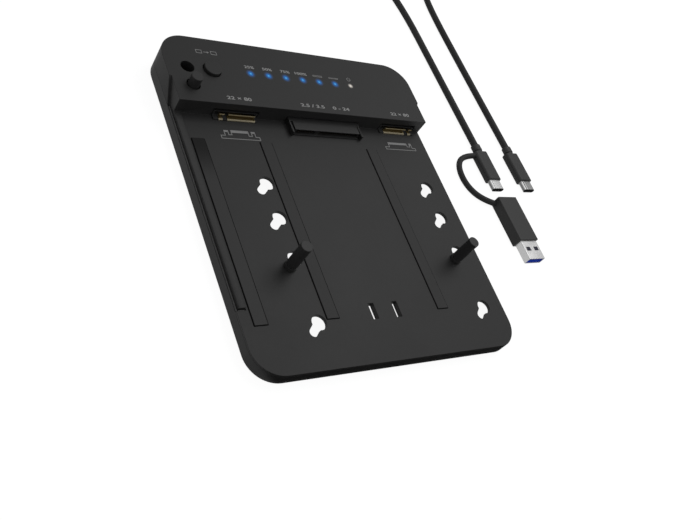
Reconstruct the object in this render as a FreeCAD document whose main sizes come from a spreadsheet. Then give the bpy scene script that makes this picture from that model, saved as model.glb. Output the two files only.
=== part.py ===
"""A drive duplicator: a flat tray for bare drives, a raised bar of electronics behind it, and its cable set.

Millimetres. X runs to the right, Y from the front edge to the back and Z up. The origin is on the desk under
the middle of the tray. The tray carries two card sockets, a drive socket, three rest strips and two sliding
posts; the bar carries the clone button, seven lights and two storage holes for spare posts.
"""
import FreeCAD, Part

import math
import os

import Sketcher

SIZES = {
    # The case: outline, heights and walls.
    "case_width": 139.7,
    "case_depth": 163.0,
    "corner_radius": 13.0,
    "foot_show": 1.0,
    "plate_top": 7.5,
    "bar_height": 8.0,
    "bar_depth": 38.3,
    "plate_thickness": 1.7,
    "wall": 1.6,
    "skirt_wall": 1.4,
    # The joint between the two mouldings, an open channel on the left and a ledge on the right.
    "lip_drop": 0.9,
    "lip_width": 1.0,
    "lip_gap": 0.1,
    "thin_lip": 0.4,
    "skirt_drop": 2.9,
    "ledge_corner": 12.9,
    "ledge_front_inset": 12.6,
    "step_set_back": 4.5,
    # The rail along the left edge.
    "rail_width": 3.05,
    "rail_height": 0.8,
    "rail_front_inset": 29.0,
    "groove_width": 0.7,
    "groove_depth": 1.2,
    # Keyholes, in two columns: a slot that leads at 45 degrees into a larger circle.
    "keyhole_left_inset": 30.35,
    "keyhole_right_inset": 17.05,
    "keyhole_front_inset": 16.4,
    "keyhole_pitch_a": 18.0,
    "keyhole_pitch_b": 20.0,
    "keyhole_pitch_c": 30.0,
    "keyhole_slot": 1.95,
    "keyhole_circle": 3.4,
    "keyhole_shift": 4.0,
    # The two cable slots near the front.
    "slot_width": 2.8,
    "slot_length": 7.5,
    "slot_left": -7.0,
    "slot_pitch": 12.6,
    "slot_front_inset": 19.5,
    # The rest strips.
    "strip_width": 5.65,
    "strip_length": 89.4,
    "strip_gap": 13.8,
    "strip_height": 0.4,
    "strip_left_inset": 8.35,
    "strip_middle_inset": 41.45,
    "strip_right_inset": 38.45,
    # The posts, from the flange under the plate up to the end of the shaft.
    "post_flange_radius": 2.85,
    "post_flange": 1.1,
    "post_play": 0.15,
    "post_fit": 0.2,
    "post_collar_radius": 2.8,
    "post_collar": 1.55,
    "post_waist_radius": 1.95,
    "post_waist": 0.9,
    "post_shaft_radius": 2.6,
    "post_reach": 15.2,
    "post_chamfer": 0.15,
    # The storage holes in the bar.
    "store_inset": 10.15,
    "store_set_back": 9.5,
    "store_pitch": 10.15,
    "store_radius": 3.15,
    "store_wall": 0.95,
    "store_sink": 0.4,
    "store_seat": 0.1,
    # The clone button and the switch under it.
    "button_inset": 21.85,
    "button_set_back": 19.3,
    "button_radius": 3.95,
    "button_gap": 0.3,
    "button_rise": 1.5,
    "button_flange": 0.8,
    "button_travel": 0.8,
    "plunger_radius": 1.75,
    "plunger_length": 3.3,
    "switch_width": 6.0,
    "switch_height": 3.6,
    # The lights: seven pipes in the roof of the bar over a row of chips.
    "lights_set_back": 19.8,
    "light_pitch": 9.47,
    "light_radius": 1.0,
    "light_gap": 0.05,
    "chip_width": 1.6,
    "chip_height": 0.8,
    "chip_gap": 0.3,
    # The circuit board in the bar.
    "board_left_inset": 17.35,
    "board_right_inset": 3.85,
    "board_set_back": 2.8,
    "board_gap": 0.4,
    "board_drop": 0.2,
    "board_thickness": 1.6,
    "board_notch": 8.0,
    "board_notch_length": 12.0,
    # Screws and the bosses that they go into.
    "screw_inset": 25.85,
    "screw_front_inset": 6.5,
    "screw_rear_inset": 8.5,
    "screw_radius": 1.2,
    "screw_head_radius": 2.4,
    "screw_head": 1.0,
    "screw_sink": 1.3,
    "screw_reach": 3.6,
    "screw_play": 0.3,
    "boss_radius": 2.6,
    "boss_gap": 0.1,
    "board_screw_inset": 4.5,
    "board_screw_reach": 2.4,
    # Feet.
    "foot_inset": 11.85,
    "foot_from_floor": 6.0,
    "foot_rear_inset": 11.5,
    "foot_radius": 5.0,
    "foot_sink": 0.5,
    "foot_play": 0.15,
    "floor_past_keyhole": 2.9,
    "floor_from_bar": 5.2,
    # Card sockets.
    "card_left_shift": 0.5,
    "card_width": 21.9,
    "card_wall": 1.0,
    "card_lip": 2.6,
    "card_set_back": 6.3,
    "card_height": 2.9,
    "card_slot_low": 0.6,
    "card_slot_high": 2.6,
    "card_slot_depth": 4.4,
    "card_window_play": 0.35,
    "card_window_height": 4.3,
    "card_sill": 0.1,
    "contact_play": 0.1,
    "contact_short": 4.0,
    "contact_notch": 0.9,
    "contact_thickness": 0.25,
    "contact_reach": 3.2,
    # The drive socket.
    "drive_centre": 7.05,
    "drive_block": 37.1,
    "drive_ears": 40.6,
    "drive_ear": 1.0,
    "drive_ear_reach": 8.6,
    "drive_ear_drop": 0.2,
    "drive_collar": 2.1,
    "drive_reach": 8.1,
    "drive_lip": 1.0,
    "drive_set_back": 8.3,
    "drive_low": 0.1,
    "drive_high": 3.0,
    "drive_roof": 0.6,
    "drive_floor": 0.5,
    "drive_side": 1.1,
    "drive_slot_depth": 6.0,
    "drive_key": 2.5,
    "drive_key_from_left": 11.3,
    "drive_window_play": 0.3,
    "drive_pitch": 1.27,
    "drive_pin_width": 0.7,
    "drive_pin_height": 0.3,
    "drive_pin_length": 4.2,
    "drive_signal_pins": 7,
    "drive_power_pins": 15,
    # Ports in the rear wall.
    "port_x": -5.0,
    "port_width": 8.94,
    "port_height": 3.26,
    "port_round": 1.3,
    "port_wall": 0.3,
    "port_depth": 7.5,
    "port_set_back": 0.4,
    "port_play": 0.15,
    "port_back": 0.6,
    "tongue_width": 6.69,
    "tongue_height": 0.7,
    "tongue_length": 5.2,
    "jack_from_screw": 8.85,
    "jack_width": 9.0,
    "jack_height": 6.4,
    "jack_depth": 13.0,
    "jack_bore": 2.8,
    "jack_bore_depth": 9.5,
    "jack_pin_radius": 1.0,
    "jack_pin_tail": 1.5,
    "power_from_screw": 14.6,
    "power_width": 10.0,
    "power_height": 4.6,
    "power_depth": 6.0,
    "power_travel": 3.0,
    "knob_width": 3.0,
    "knob_height": 2.2,
    "knob_gap": 0.25,
    "knob_depth": 2.6,
    "knob_set_back": 0.2,
    # Larger parts on the board.
    "package_set_back": 13.8,
    "bridge_side": 9.0,
    "hub_from_keyhole": 18.8,
    "hub_side": 7.0,
    "package_height": 0.9,
    "coil_part_x": -16.0,
    "coil_part_inset": 12.5,
    "coil_part_side": 4.0,
    "coil_part_height": 2.0,
    "coil_part_pitch": 20.0,
    # The cable set, which lies on the desk behind and to the right.
    "cable_radius": 1.95,
    "lead_a_x": 114.7,
    "lead_b_x": 140.0,
    "plug_front": 16.8,
    "plug_width": 10.0,
    "plug_height": 4.8,
    "plug_length": 19.2,
    "plug_round": 1.9,
    "relief_radius": 2.35,
    "relief_length": 5.1,
    "relief_neck_radius": 2.05,
    "relief_neck": 1.3,
    "shell_width": 8.25,
    "shell_height": 2.6,
    "shell_round": 1.25,
    "shell_length": 6.2,
    "shell_wall": 0.3,
    "coil_x": 126.9,
    "coil_y": 197.0,
    "coil_radius": 20.4,
    "coil_band": 11.8,
    "coil_height": 7.8,
    "coil_chamfer": 1.1,
    # The adapter that hangs on the first plug by a strap.
    "adapter_x": 113.5,
    "adapter_rear": 3.0,
    "adapter_length": 27.5,
    "adapter_width": 14.0,
    "adapter_height": 6.7,
    "adapter_round": 0.6,
    "adapter_shell_width": 12.0,
    "adapter_shell_height": 4.5,
    "adapter_shell_length": 11.2,
    "adapter_shell_wall": 0.35,
    "adapter_hole": 2.3,
    "adapter_hole_pitch": 5.8,
    "adapter_hole_from_mouth": 6.2,
    "adapter_tongue_width": 11.1,
    "adapter_tongue_height": 1.7,
    "adapter_tongue_set_back": 0.6,
    "strap_radius": 1.6,
}

# Routes on the desk, from one end to the other, in X, Y and Z.
LEAD_A_ROUTE = [(114.7, 41.1, 2.4), (114.7, 98.0, 2.05), (114.6, 153.0, 2.0), (109.0, 180.0, 2.0)]
LEAD_B_ROUTE = [(140.0, 41.1, 2.4), (140.0, 100.0, 2.05), (140.05, 157.0, 2.0), (144.9, 180.2, 2.0)]
STRAP_ROUTE = [
    (110.4, 34.3, 2.3),
    (100.6, 33.9, 1.9),
    (93.4, 26.0, 1.7),
    (92.7, 13.6, 1.7),
    (99.2, 4.4, 1.9),
    (107.3, 1.2, 2.5),
]
# How much of the shorter run each arc of a route takes.
ARC_SHARE = 0.45

doc = FreeCAD.newDocument("duplicator")
sheet = doc.addObject("Spreadsheet::Sheet", "Sizes")
for row, (name, value) in enumerate(SIZES.items(), start=1):
    sheet.set(f"A{row}", name)
    sheet.set(f"B{row}", str(value))
    sheet.setAlias(f"B{row}", name)
doc.recompute()


class Size:
    """A length as a number and as the sheet's formula for it, so that arithmetic keeps both."""

    def __init__(self, number, formula):
        self.number = number
        self.formula = formula

    def joined(self, other, sign, number):
        formula = other.formula if isinstance(other, Size) else str(other)
        return Size(number, f"({self.formula} {sign} {formula})")

    def __add__(self, other):
        return self.joined(other, "+", self.number + number_of(other))

    def __sub__(self, other):
        return self.joined(other, "-", self.number - number_of(other))

    def __mul__(self, other):
        return self.joined(other, "*", self.number * number_of(other))

    def __truediv__(self, other):
        return self.joined(other, "/", self.number / number_of(other))

    def __neg__(self):
        return Size(-self.number, f"(0 - {self.formula})")


def number_of(length):
    return length.number if isinstance(length, Size) else length


def size(name):
    return Size(SIZES[name], f"Sizes.{name}")


def bind(thing, prop, length):
    """Ties a property to the sheet, or sets it where it is a plain number."""
    if isinstance(length, Size):
        thing.setExpression(prop, length.formula)
    else:
        thing.setExpression(prop, str(length))


def vector(x, y):
    return FreeCAD.Vector(number_of(x), number_of(y), 0)


# Heights and edges that several pieces share.
side = size("case_width") / 2
back = size("case_depth") / 2
plate_top = size("plate_top")
plate_under = plate_top - size("plate_thickness")
lip_top = plate_top - size("lip_drop")
skirt_bottom = plate_top - size("skirt_drop")
shelf = skirt_bottom - size("lip_gap")
bar_top = plate_top + size("bar_height")
roof_under = bar_top - size("wall")
floor_under = size("foot_show")
floor_top = floor_under + size("wall")
ledge = size("lip_width") + size("lip_gap")
bar_front = back - size("bar_depth")
bar_inner_front = bar_front + size("wall")
inner_back = back - ledge - size("wall")
board_top = plate_top - size("board_drop")
board_under = board_top - size("board_thickness")
rail_inner = size("rail_width") + ledge - side
post_flange_top = plate_under - size("post_play")
post_flange_low = post_flange_top - size("post_flange")
DESK = size("foot_show") - floor_under
# Places across the case, each from the side that its piece keeps to.
keyhole_left = size("keyhole_left_inset") - side
keyhole_right = side - size("keyhole_right_inset")
card_left = keyhole_left - size("card_left_shift")
strip_left = size("strip_left_inset") - side
strip_middle = size("strip_middle_inset") - side
strip_right = side - size("strip_right_inset")
store_x = size("store_inset") - side
button_x = size("button_inset") - side
screw_x = side - size("screw_inset")
foot_x = side - size("foot_inset")
board_left = size("board_left_inset") - side
board_right = side - size("board_right_inset")
# The board's screws stand midway between the sockets, and the inlet and the switch keep to them.
card_half = size("card_width") / 2
drive_left = size("drive_centre") - size("drive_ears") / 2
drive_right = size("drive_centre") + size("drive_ears") / 2
board_screw_left = (card_left + card_half + drive_left) / 2
board_screw_right = (drive_right + keyhole_right - card_half) / 2
jack_x = board_screw_left - size("jack_from_screw")
power_x = board_screw_right - size("power_from_screw")
# Places along the case, each from the bar's front or from the case's own front or rear.
step_front = bar_front + size("step_set_back")
rail_front = size("rail_front_inset") - back
ledge_front = size("ledge_front_inset") - back
slot_front = size("slot_front_inset") - back
strip_front = bar_front - size("strip_gap") - size("strip_length")
store_front = bar_front + size("store_set_back")
button_y = bar_front + size("button_set_back")
lights_y = bar_front + size("lights_set_back")
board_front = bar_front + size("board_set_back")
board_rear = inner_back - size("board_gap")
package_y = bar_front + size("package_set_back")
card_depth = size("card_slot_depth")
# How far a cut runs past the faces that it opens.
ABOVE = 1.0

# The rows of keyholes, listed from the bar to the front edge.
KEYHOLE_ROWS = [size("keyhole_front_inset") - back]
for pitch in ("keyhole_pitch_c", "keyhole_pitch_b", "keyhole_pitch_a"):
    KEYHOLE_ROWS.insert(0, KEYHOLE_ROWS[0] + size(pitch))
KEYHOLE_COLUMNS = [keyhole_left, keyhole_right]
KEYHOLES = [(x, y) for x in KEYHOLE_COLUMNS for y in KEYHOLE_ROWS]
POST_ROW = KEYHOLE_ROWS[2]
STORES = [(store_x, store_front), (store_x, store_front + size("store_pitch"))]
LIGHTS = [(size("light_pitch") * (index - 3), lights_y) for index in range(7)]
COVER_SCREW_ROWS = [size("screw_front_inset") - back, back - size("screw_rear_inset")]
COVER_SCREWS = [(x, y) for y in COVER_SCREW_ROWS for x in (-screw_x, screw_x)]
BOARD_SCREW_ROWS = [board_front + size("board_screw_inset"), board_rear - size("board_screw_inset")]
BOARD_SCREWS = [(x, y) for y in BOARD_SCREW_ROWS for x in (board_screw_left, board_screw_right)]
floor_front = KEYHOLE_ROWS[-1] - size("floor_past_keyhole")
floor_rear = bar_front - size("floor_from_bar")
foot_front = floor_front - size("foot_from_floor")
foot_rear = back - size("foot_rear_inset")
FEET = {
    "foot_front_left": (-foot_x, foot_front),
    "foot_front_right": (foot_x, foot_front),
    "foot_rear_left": (-foot_x, foot_rear),
    "foot_rear_right": (foot_x, foot_rear),
}
STRIPS = {
    "drive_strip_left": strip_left,
    "drive_strip_middle": strip_middle,
    "drive_strip_right": strip_right,
}
PACKAGES = {
    "bridge_chip": (size("drive_centre"), size("bridge_side")),
    "hub_chip": (keyhole_right - size("hub_from_keyhole"), size("hub_side")),
}

nodes = []


def named(thing, label):
    """Marks a finished object as a sub-part that gets its own file."""
    thing.Label = label
    nodes.append(thing)
    return thing


# Sketches and features of the moulded pieces.


def new_body(label):
    body = doc.addObject("PartDesign::Body", label)
    return named(body, label)


def new_sketch(body, role, offset):
    sketch = body.newObject("Sketcher::SketchObject", "Profile")
    plane = next(feature for feature in body.Origin.OriginFeatures if feature.Role == role)
    sketch.AttachmentSupport = [(plane, "")]
    sketch.MapMode = "FlatFace"
    bind(sketch, "AttachmentOffset.Base.z", offset)
    return sketch


def hold(sketch, kind, geometry, point, length):
    """Ties one coordinate of a point, or a radius, to the sheet."""
    if point is None:
        index = sketch.addConstraint(Sketcher.Constraint(kind, geometry, number_of(length)))
    else:
        index = sketch.addConstraint(Sketcher.Constraint(kind, geometry, point, number_of(length)))
    if isinstance(length, Size):
        sketch.setExpression(f"Constraints[{index}]", length.formula)


def polygon(sketch, points):
    first = sketch.GeometryCount
    count = len(points)
    for index, (x, y) in enumerate(points):
        end = points[(index + 1) % count]
        sketch.addGeometry(Part.LineSegment(vector(x, y), vector(*end)), False)
    for index, (x, y) in enumerate(points):
        nearest = first + (index + 1) % count
        sketch.addConstraint(Sketcher.Constraint("Coincident", first + index, 2, nearest, 1))
        hold(sketch, "DistanceX", first + index, 1, x)
        hold(sketch, "DistanceY", first + index, 1, y)


def rectangle(sketch, left, right, low, high):
    polygon(sketch, [(left, low), (right, low), (right, high), (left, high)])


def circle(sketch, x, y, radius):
    shape = Part.Circle(vector(x, y), FreeCAD.Vector(0, 0, 1), number_of(radius))
    index = sketch.addGeometry(shape, False)
    hold(sketch, "Radius", index, None, radius)
    hold(sketch, "DistanceX", index, 3, x)
    hold(sketch, "DistanceY", index, 3, y)


def rounded(sketch, left, right, low, high, radius):
    """A rectangle with round corners: four lines, each tangent to the arcs at its ends."""
    first = sketch.GeometryCount
    x0, x1, y0, y1, r = (number_of(length) for length in (left, right, low, high, radius))
    lines = [
        ((x0 + r, y0), (x1 - r, y0)),
        ((x1, y0 + r), (x1, y1 - r)),
        ((x1 - r, y1), (x0 + r, y1)),
        ((x0, y1 - r), (x0, y0 + r)),
    ]
    centres = [(x1 - r, y0 + r), (x1 - r, y1 - r), (x0 + r, y1 - r), (x0 + r, y0 + r)]
    for start, end in lines:
        sketch.addGeometry(Part.LineSegment(vector(*start), vector(*end)), False)
    for index, centre in enumerate(centres):
        whole = Part.Circle(vector(*centre), FreeCAD.Vector(0, 0, 1), r)
        start = (index - 1) * math.pi / 2
        sketch.addGeometry(Part.ArcOfCircle(whole, start, start + math.pi / 2), False)
    for index in range(4):
        line = first + index
        arc = first + 4 + index
        after = first + (index + 1) % 4
        sketch.addConstraint(Sketcher.Constraint("Tangent", line, 2, arc, 1))
        sketch.addConstraint(Sketcher.Constraint("Tangent", arc, 2, after, 1))
        sketch.addConstraint(Sketcher.Constraint(("Horizontal", "Vertical")[index % 2], line))
    for arc in range(first + 5, first + 8):
        sketch.addConstraint(Sketcher.Constraint("Equal", first + 4, arc))
    hold(sketch, "Radius", first + 4, None, radius)
    hold(sketch, "DistanceY", first, 1, low)
    hold(sketch, "DistanceX", first + 1, 1, right)
    hold(sketch, "DistanceY", first + 2, 1, high)
    hold(sketch, "DistanceX", first + 3, 1, left)


def grow(body, sketch, length):
    pad = body.newObject("PartDesign::Pad", "Pad")
    pad.Profile = sketch
    bind(pad, "Length", length)
    return pad


def sink(body, sketch, length):
    pocket = body.newObject("PartDesign::Pocket", "Pocket")
    pocket.Profile = sketch
    bind(pocket, "Length", length)
    return pocket


def level(body, height):
    return new_sketch(body, "XY_Plane", height)


def add_block(body, across, along, low, high):
    sketch = level(body, low)
    rectangle(sketch, *across, *along)
    grow(body, sketch, high - low)


def cut_block(body, across, along, low, high):
    sketch = level(body, high)
    rectangle(sketch, *across, *along)
    sink(body, sketch, high - low)


def add_rounds(body, spots, radius, low, high):
    sketch = level(body, low)
    for x, y in spots:
        circle(sketch, x, y, radius)
    grow(body, sketch, high - low)


def cut_rounds(body, spots, radius, low, high):
    sketch = level(body, high)
    for x, y in spots:
        circle(sketch, x, y, radius)
    sink(body, sketch, high - low)


# Plain solids, for the small pieces.


def block(label, across, along, low, high):
    box = doc.addObject("Part::Box", label)
    box.Label = label
    bind(box, "Placement.Base.x", across[0])
    bind(box, "Placement.Base.y", along[0])
    bind(box, "Placement.Base.z", low)
    bind(box, "Length", across[1] - across[0])
    bind(box, "Width", along[1] - along[0])
    bind(box, "Height", high - low)
    return box


def rod(label, spot, radius, low, high):
    cylinder = doc.addObject("Part::Cylinder", label)
    cylinder.Label = label
    bind(cylinder, "Placement.Base.x", spot[0])
    bind(cylinder, "Placement.Base.y", spot[1])
    bind(cylinder, "Placement.Base.z", low)
    bind(cylinder, "Radius", radius)
    bind(cylinder, "Height", high - low)
    return cylinder


def rod_along(label, x, z, radius, front, rear):
    """A round bar that runs along Y."""
    cylinder = doc.addObject("Part::Cylinder", label)
    cylinder.Label = label
    cylinder.Placement.Rotation = FreeCAD.Rotation(FreeCAD.Vector(1, 0, 0), -90)
    bind(cylinder, "Placement.Base.x", x)
    bind(cylinder, "Placement.Base.y", front)
    bind(cylinder, "Placement.Base.z", z)
    bind(cylinder, "Radius", radius)
    bind(cylinder, "Height", rear - front)
    return cylinder


def less(label, base, tool):
    cut = doc.addObject("Part::Cut", label)
    cut.Label = label
    cut.Base = base
    cut.Tool = tool
    return cut


def joined(label, pieces):
    fuse = doc.addObject("Part::MultiFuse", label)
    fuse.Label = label
    fuse.Shapes = pieces
    return fuse


def grouped(label, pieces):
    compound = doc.addObject("Part::Compound", label)
    compound.Label = label
    compound.Links = pieces
    return compound


def centred(middle, width):
    return (middle - width / 2, middle + width / 2)


def make_base():
    """The lower moulding: wall, lip, the two floors that carry the feet, ribs, bosses and standoffs."""
    body = new_body("base_shell")
    sketch = level(body, floor_under)
    rounded(sketch, -side, side, -back, back, size("corner_radius"))
    grow(body, sketch, lip_top - floor_under)

    sketch = level(body, lip_top)
    lip = size("lip_width")
    rounded(sketch, lip - side, side - lip, lip - back, back - lip, size("corner_radius") - lip)
    sink(body, sketch, lip_top - shelf)

    wall = size("wall")
    sketch = level(body, lip_top)
    rounded(sketch, wall - side, side - wall, wall - back, back - wall, size("corner_radius") - wall)
    sink(body, sketch, lip_top - floor_top)

    opening = (floor_front, floor_rear)
    cut_block(body, (wall - side, side - wall), opening, floor_under - ABOVE, floor_top)
    channel_end = step_front
    channel_start = rail_front - size("groove_width")
    cut_block(body, (size("thin_lip") - side, wall - side), (channel_start, channel_end), shelf, lip_top)

    rib_top = plate_under - size("boss_gap")
    for edge, inward in ((opening[0] - wall, opening[0]), (opening[1], opening[1] + wall)):
        add_block(body, (wall - side - lip / 2, side - wall + lip / 2), (edge, inward), floor_under, shelf)
        inset = size("corner_radius")
        add_block(body, (inset - side, side - inset), (edge, inward), shelf, rib_top)

    boss_top = skirt_bottom - size("boss_gap")
    add_rounds(body, COVER_SCREWS, size("boss_radius"), floor_top, boss_top)
    add_rounds(body, BOARD_SCREWS, size("boss_radius"), floor_top, board_under)
    hole = size("screw_radius") + size("screw_play")
    cut_rounds(body, COVER_SCREWS, hole, floor_under - ABOVE, boss_top)
    cut_rounds(body, BOARD_SCREWS, size("screw_radius"), floor_top, board_under)
    sketch = new_sketch(body, "XY_Plane", floor_under + size("screw_sink"))
    for x, y in COVER_SCREWS:
        circle(sketch, x, y, size("screw_head_radius") + size("screw_play"))
    sink(body, sketch, size("screw_sink") + ABOVE)
    sketch = new_sketch(body, "XY_Plane", floor_under + size("foot_sink"))
    for x, y in FEET.values():
        circle(sketch, x, y, size("foot_radius") + size("foot_play"))
    sink(body, sketch, size("foot_sink") + ABOVE)
    cut_rounds(body, STORES, size("store_radius"), floor_top - size("store_sink"), floor_top)


def make_cover():
    """The upper moulding: the drive plate and, behind it, the hollow bar, in one piece."""
    body = new_body("top_cover")
    radius = size("corner_radius")
    sketch = level(body, lip_top)
    rounded(sketch, -side, side, -back, back, radius)
    grow(body, sketch, plate_top - lip_top)

    sketch = level(body, skirt_bottom)
    rounded(sketch, ledge - side, side - ledge, ledge - back, back - ledge, radius - ledge)
    grow(body, sketch, lip_top - skirt_bottom)

    cover_bar(body)
    cover_edges(body)
    cover_hollows(body)

    start = rail_front
    add_block(body, (ledge - side, rail_inner), (start, bar_front + size("wall") / 2), plate_top, rail_top())
    groove = (start - size("groove_width"), start)
    cut_block(body, (-side, rail_inner), groove, plate_top - size("groove_depth"), plate_top)

    cover_openings(body)
    cover_bosses(body)


def rail_top():
    return plate_top + size("rail_height")


def cover_bar(body):
    """The bar above the plate, with the case's own rear corners."""
    radius = size("corner_radius")
    sketch = level(body, plate_top)
    first = sketch.GeometryCount
    x, y, r = side.number, back.number, radius.number
    front = bar_front.number
    spots = [((-x, front), (x, front)), ((x, front), (x, y - r))]
    spots += [((x - r, y), (r - x, y)), ((-x, y - r), (-x, front))]
    for start, end in spots:
        sketch.addGeometry(Part.LineSegment(vector(*start), vector(*end)), False)
    for centre, turn in ((x - r, 0), (r - x, math.pi / 2)):
        whole = Part.Circle(vector(centre, y - r), FreeCAD.Vector(0, 0, 1), r)
        sketch.addGeometry(Part.ArcOfCircle(whole, turn, turn + math.pi / 2), False)
    right_arc = first + 4
    left_arc = first + 5
    sketch.addConstraint(Sketcher.Constraint("Coincident", first, 2, first + 1, 1))
    sketch.addConstraint(Sketcher.Constraint("Coincident", first + 3, 2, first, 1))
    sketch.addConstraint(Sketcher.Constraint("Tangent", first + 1, 2, right_arc, 1))
    sketch.addConstraint(Sketcher.Constraint("Tangent", right_arc, 2, first + 2, 1))
    sketch.addConstraint(Sketcher.Constraint("Tangent", first + 2, 2, left_arc, 1))
    sketch.addConstraint(Sketcher.Constraint("Tangent", left_arc, 2, first + 3, 1))
    sketch.addConstraint(Sketcher.Constraint("Horizontal", first))
    sketch.addConstraint(Sketcher.Constraint("Vertical", first + 1))
    sketch.addConstraint(Sketcher.Constraint("Horizontal", first + 2))
    sketch.addConstraint(Sketcher.Constraint("Vertical", first + 3))
    sketch.addConstraint(Sketcher.Constraint("Equal", right_arc, left_arc))
    hold(sketch, "Radius", right_arc, None, radius)
    hold(sketch, "DistanceX", first, 1, -side)
    hold(sketch, "DistanceY", first, 1, bar_front)
    hold(sketch, "DistanceX", first + 1, 1, side)
    hold(sketch, "DistanceY", first + 2, 1, back)
    grow(body, sketch, size("bar_height"))


def cover_edges(body):
    """The ledge down both sides, which climbs the ends of the bar at 45 degrees."""
    step = step_front
    climb = bar_top - lip_top
    left_start = rail_front - size("groove_width")
    for start, outer in ((left_start, ledge - side), (ledge_front, side + ABOVE)):
        sketch = new_sketch(body, "YZ_Plane", outer)
        over = bar_top + ABOVE
        points = [(start, lip_top), (step, lip_top), (step + climb, bar_top)]
        points += [(step + climb, over), (start, over)]
        polygon(sketch, points)
        sink(body, sketch, ledge + ABOVE)

    sketch = level(body, plate_top)
    corner = size("ledge_corner")
    edge = side - ledge
    start = ledge_front
    drop = start + back
    reach = math.sqrt(corner.number**2 - drop.number**2)
    turn = math.acos(drop.number / corner.number) - math.pi / 2
    centre = edge - corner
    whole = Part.Circle(vector(centre, start), FreeCAD.Vector(0, 0, 1), corner.number)
    arc = sketch.addGeometry(Part.ArcOfCircle(whole, turn, 0), False)
    exit_point = (centre.number + reach, -back.number)
    outside = side.number + ABOVE
    sketch.addGeometry(Part.LineSegment(vector(edge, start), vector(outside, start)), False)
    sketch.addGeometry(Part.LineSegment(vector(outside, start), vector(outside, -back)), False)
    sketch.addGeometry(Part.LineSegment(vector(outside, -back), vector(*exit_point)), False)
    for line in range(arc + 1, arc + 3):
        sketch.addConstraint(Sketcher.Constraint("Coincident", line, 2, line + 1, 1))
    sketch.addConstraint(Sketcher.Constraint("Coincident", arc, 2, arc + 1, 1))
    sketch.addConstraint(Sketcher.Constraint("Coincident", arc + 3, 2, arc, 1))
    sketch.addConstraint(Sketcher.Constraint("Horizontal", arc + 1))
    sketch.addConstraint(Sketcher.Constraint("Vertical", arc + 2))
    sketch.addConstraint(Sketcher.Constraint("Horizontal", arc + 3))
    hold(sketch, "Radius", arc, None, corner)
    hold(sketch, "DistanceX", arc, 3, centre)
    hold(sketch, "DistanceY", arc, 3, start)
    hold(sketch, "DistanceY", arc + 1, 1, start)
    hold(sketch, "DistanceX", arc + 2, 1, side + ABOVE)
    hold(sketch, "DistanceY", arc + 3, 1, -back)
    sink(body, sketch, plate_top - lip_top)


def cover_hollows(body):
    """The space under the plate and the one inside the bar."""
    skirt = ledge + size("skirt_wall")
    sketch = level(body, plate_under)
    radius = size("corner_radius") - skirt
    rounded(sketch, skirt - side, side - skirt, skirt - back, bar_front, radius)
    sink(body, sketch, plate_under - skirt_bottom)

    inner = ledge + size("wall")
    sketch = level(body, roof_under)
    radius = size("corner_radius") - inner
    rounded(sketch, inner - side, side - inner, bar_inner_front, back - inner, radius)
    sink(body, sketch, roof_under - skirt_bottom)
    across = (inner - side, side - inner)
    cut_block(body, across, (bar_inner_front, bar_inner_front + radius), skirt_bottom, roof_under)


def cover_openings(body):
    """Keyholes and slots in the plate, windows in the wall of the bar, holes in its roof and ports behind."""
    cut_rounds(body, [(x + size("keyhole_shift"), y + size("keyhole_shift")) for x, y in KEYHOLES],
               size("keyhole_circle"), skirt_bottom, plate_top)
    cut_rounds(body, KEYHOLES, size("keyhole_slot"), skirt_bottom, plate_top)
    sketch = level(body, plate_top)
    half = size("keyhole_slot") / math.sqrt(2)
    shift = size("keyhole_shift")
    for x, y in KEYHOLES:
        points = [(x + half, y - half), (x + half + shift, y - half + shift)]
        points += [(x - half + shift, y + half + shift), (x - half, y + half)]
        polygon(sketch, points)
    sink(body, sketch, plate_top - skirt_bottom)

    for middle in (size("slot_left"), size("slot_left") + size("slot_pitch")):
        along = (slot_front, slot_front + size("slot_length"))
        cut_block(body, centred(middle, size("slot_width")), along, skirt_bottom, plate_top)

    through = (bar_front - ABOVE, bar_inner_front + ABOVE)
    for middle in (card_left, keyhole_right):
        across = centred(middle, size("card_width") + size("card_window_play") * 2)
        cut_block(body, across, through, plate_top, plate_top + size("card_window_height"))
    play = size("drive_window_play")
    across = centred(size("drive_centre"), size("drive_ears") + play * 2)
    cut_block(body, across, through, plate_top, plate_top + size("drive_high") + play)

    cut_rounds(body, LIGHTS, size("light_radius") + size("light_gap"), roof_under, bar_top)
    button = (button_x, button_y)
    cut_rounds(body, [button], size("button_radius") + size("button_gap"), roof_under, bar_top)

    wall_cut = back - inner_back + ABOVE * 2
    sketch = new_sketch(body, "XZ_Plane", -(inner_back - ABOVE))
    play = size("port_play")
    low = board_top - play
    high = board_top + size("port_height") + play
    half = size("port_width") / 2 + play
    rounded(sketch, size("port_x") - half, size("port_x") + half, low, high, size("port_round") + play)
    sink(body, sketch, wall_cut)
    sketch = new_sketch(body, "XZ_Plane", -(inner_back - ABOVE))
    circle(sketch, jack_x, jack_height(), size("jack_bore"))
    sink(body, sketch, wall_cut)
    low = knob_low() - size("knob_gap")
    cut_block(body, knob_channel(), (inner_back - ABOVE, back + ABOVE), low, knob_high() + size("knob_gap"))


def cover_bosses(body):
    """Screw bosses under the plate and the roof, and the two wells that hold spare posts."""
    for spots, top in ((COVER_SCREWS[:2], plate_under), (COVER_SCREWS[2:], roof_under)):
        add_rounds(body, spots, size("boss_radius"), skirt_bottom, top)
        cut_rounds(body, spots, size("screw_radius"), skirt_bottom, skirt_bottom + size("screw_reach") / 2)
    well = size("store_radius") + size("store_wall")
    add_rounds(body, STORES, well, floor_top + size("lip_gap"), roof_under)
    cut_rounds(body, STORES, size("store_radius"), floor_top, bar_top)


def jack_height():
    return board_top + size("jack_height") / 2


def knob_low():
    return board_top + (size("power_height") - size("knob_height")) / 2


def knob_high():
    return knob_low() + size("knob_height")


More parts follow.
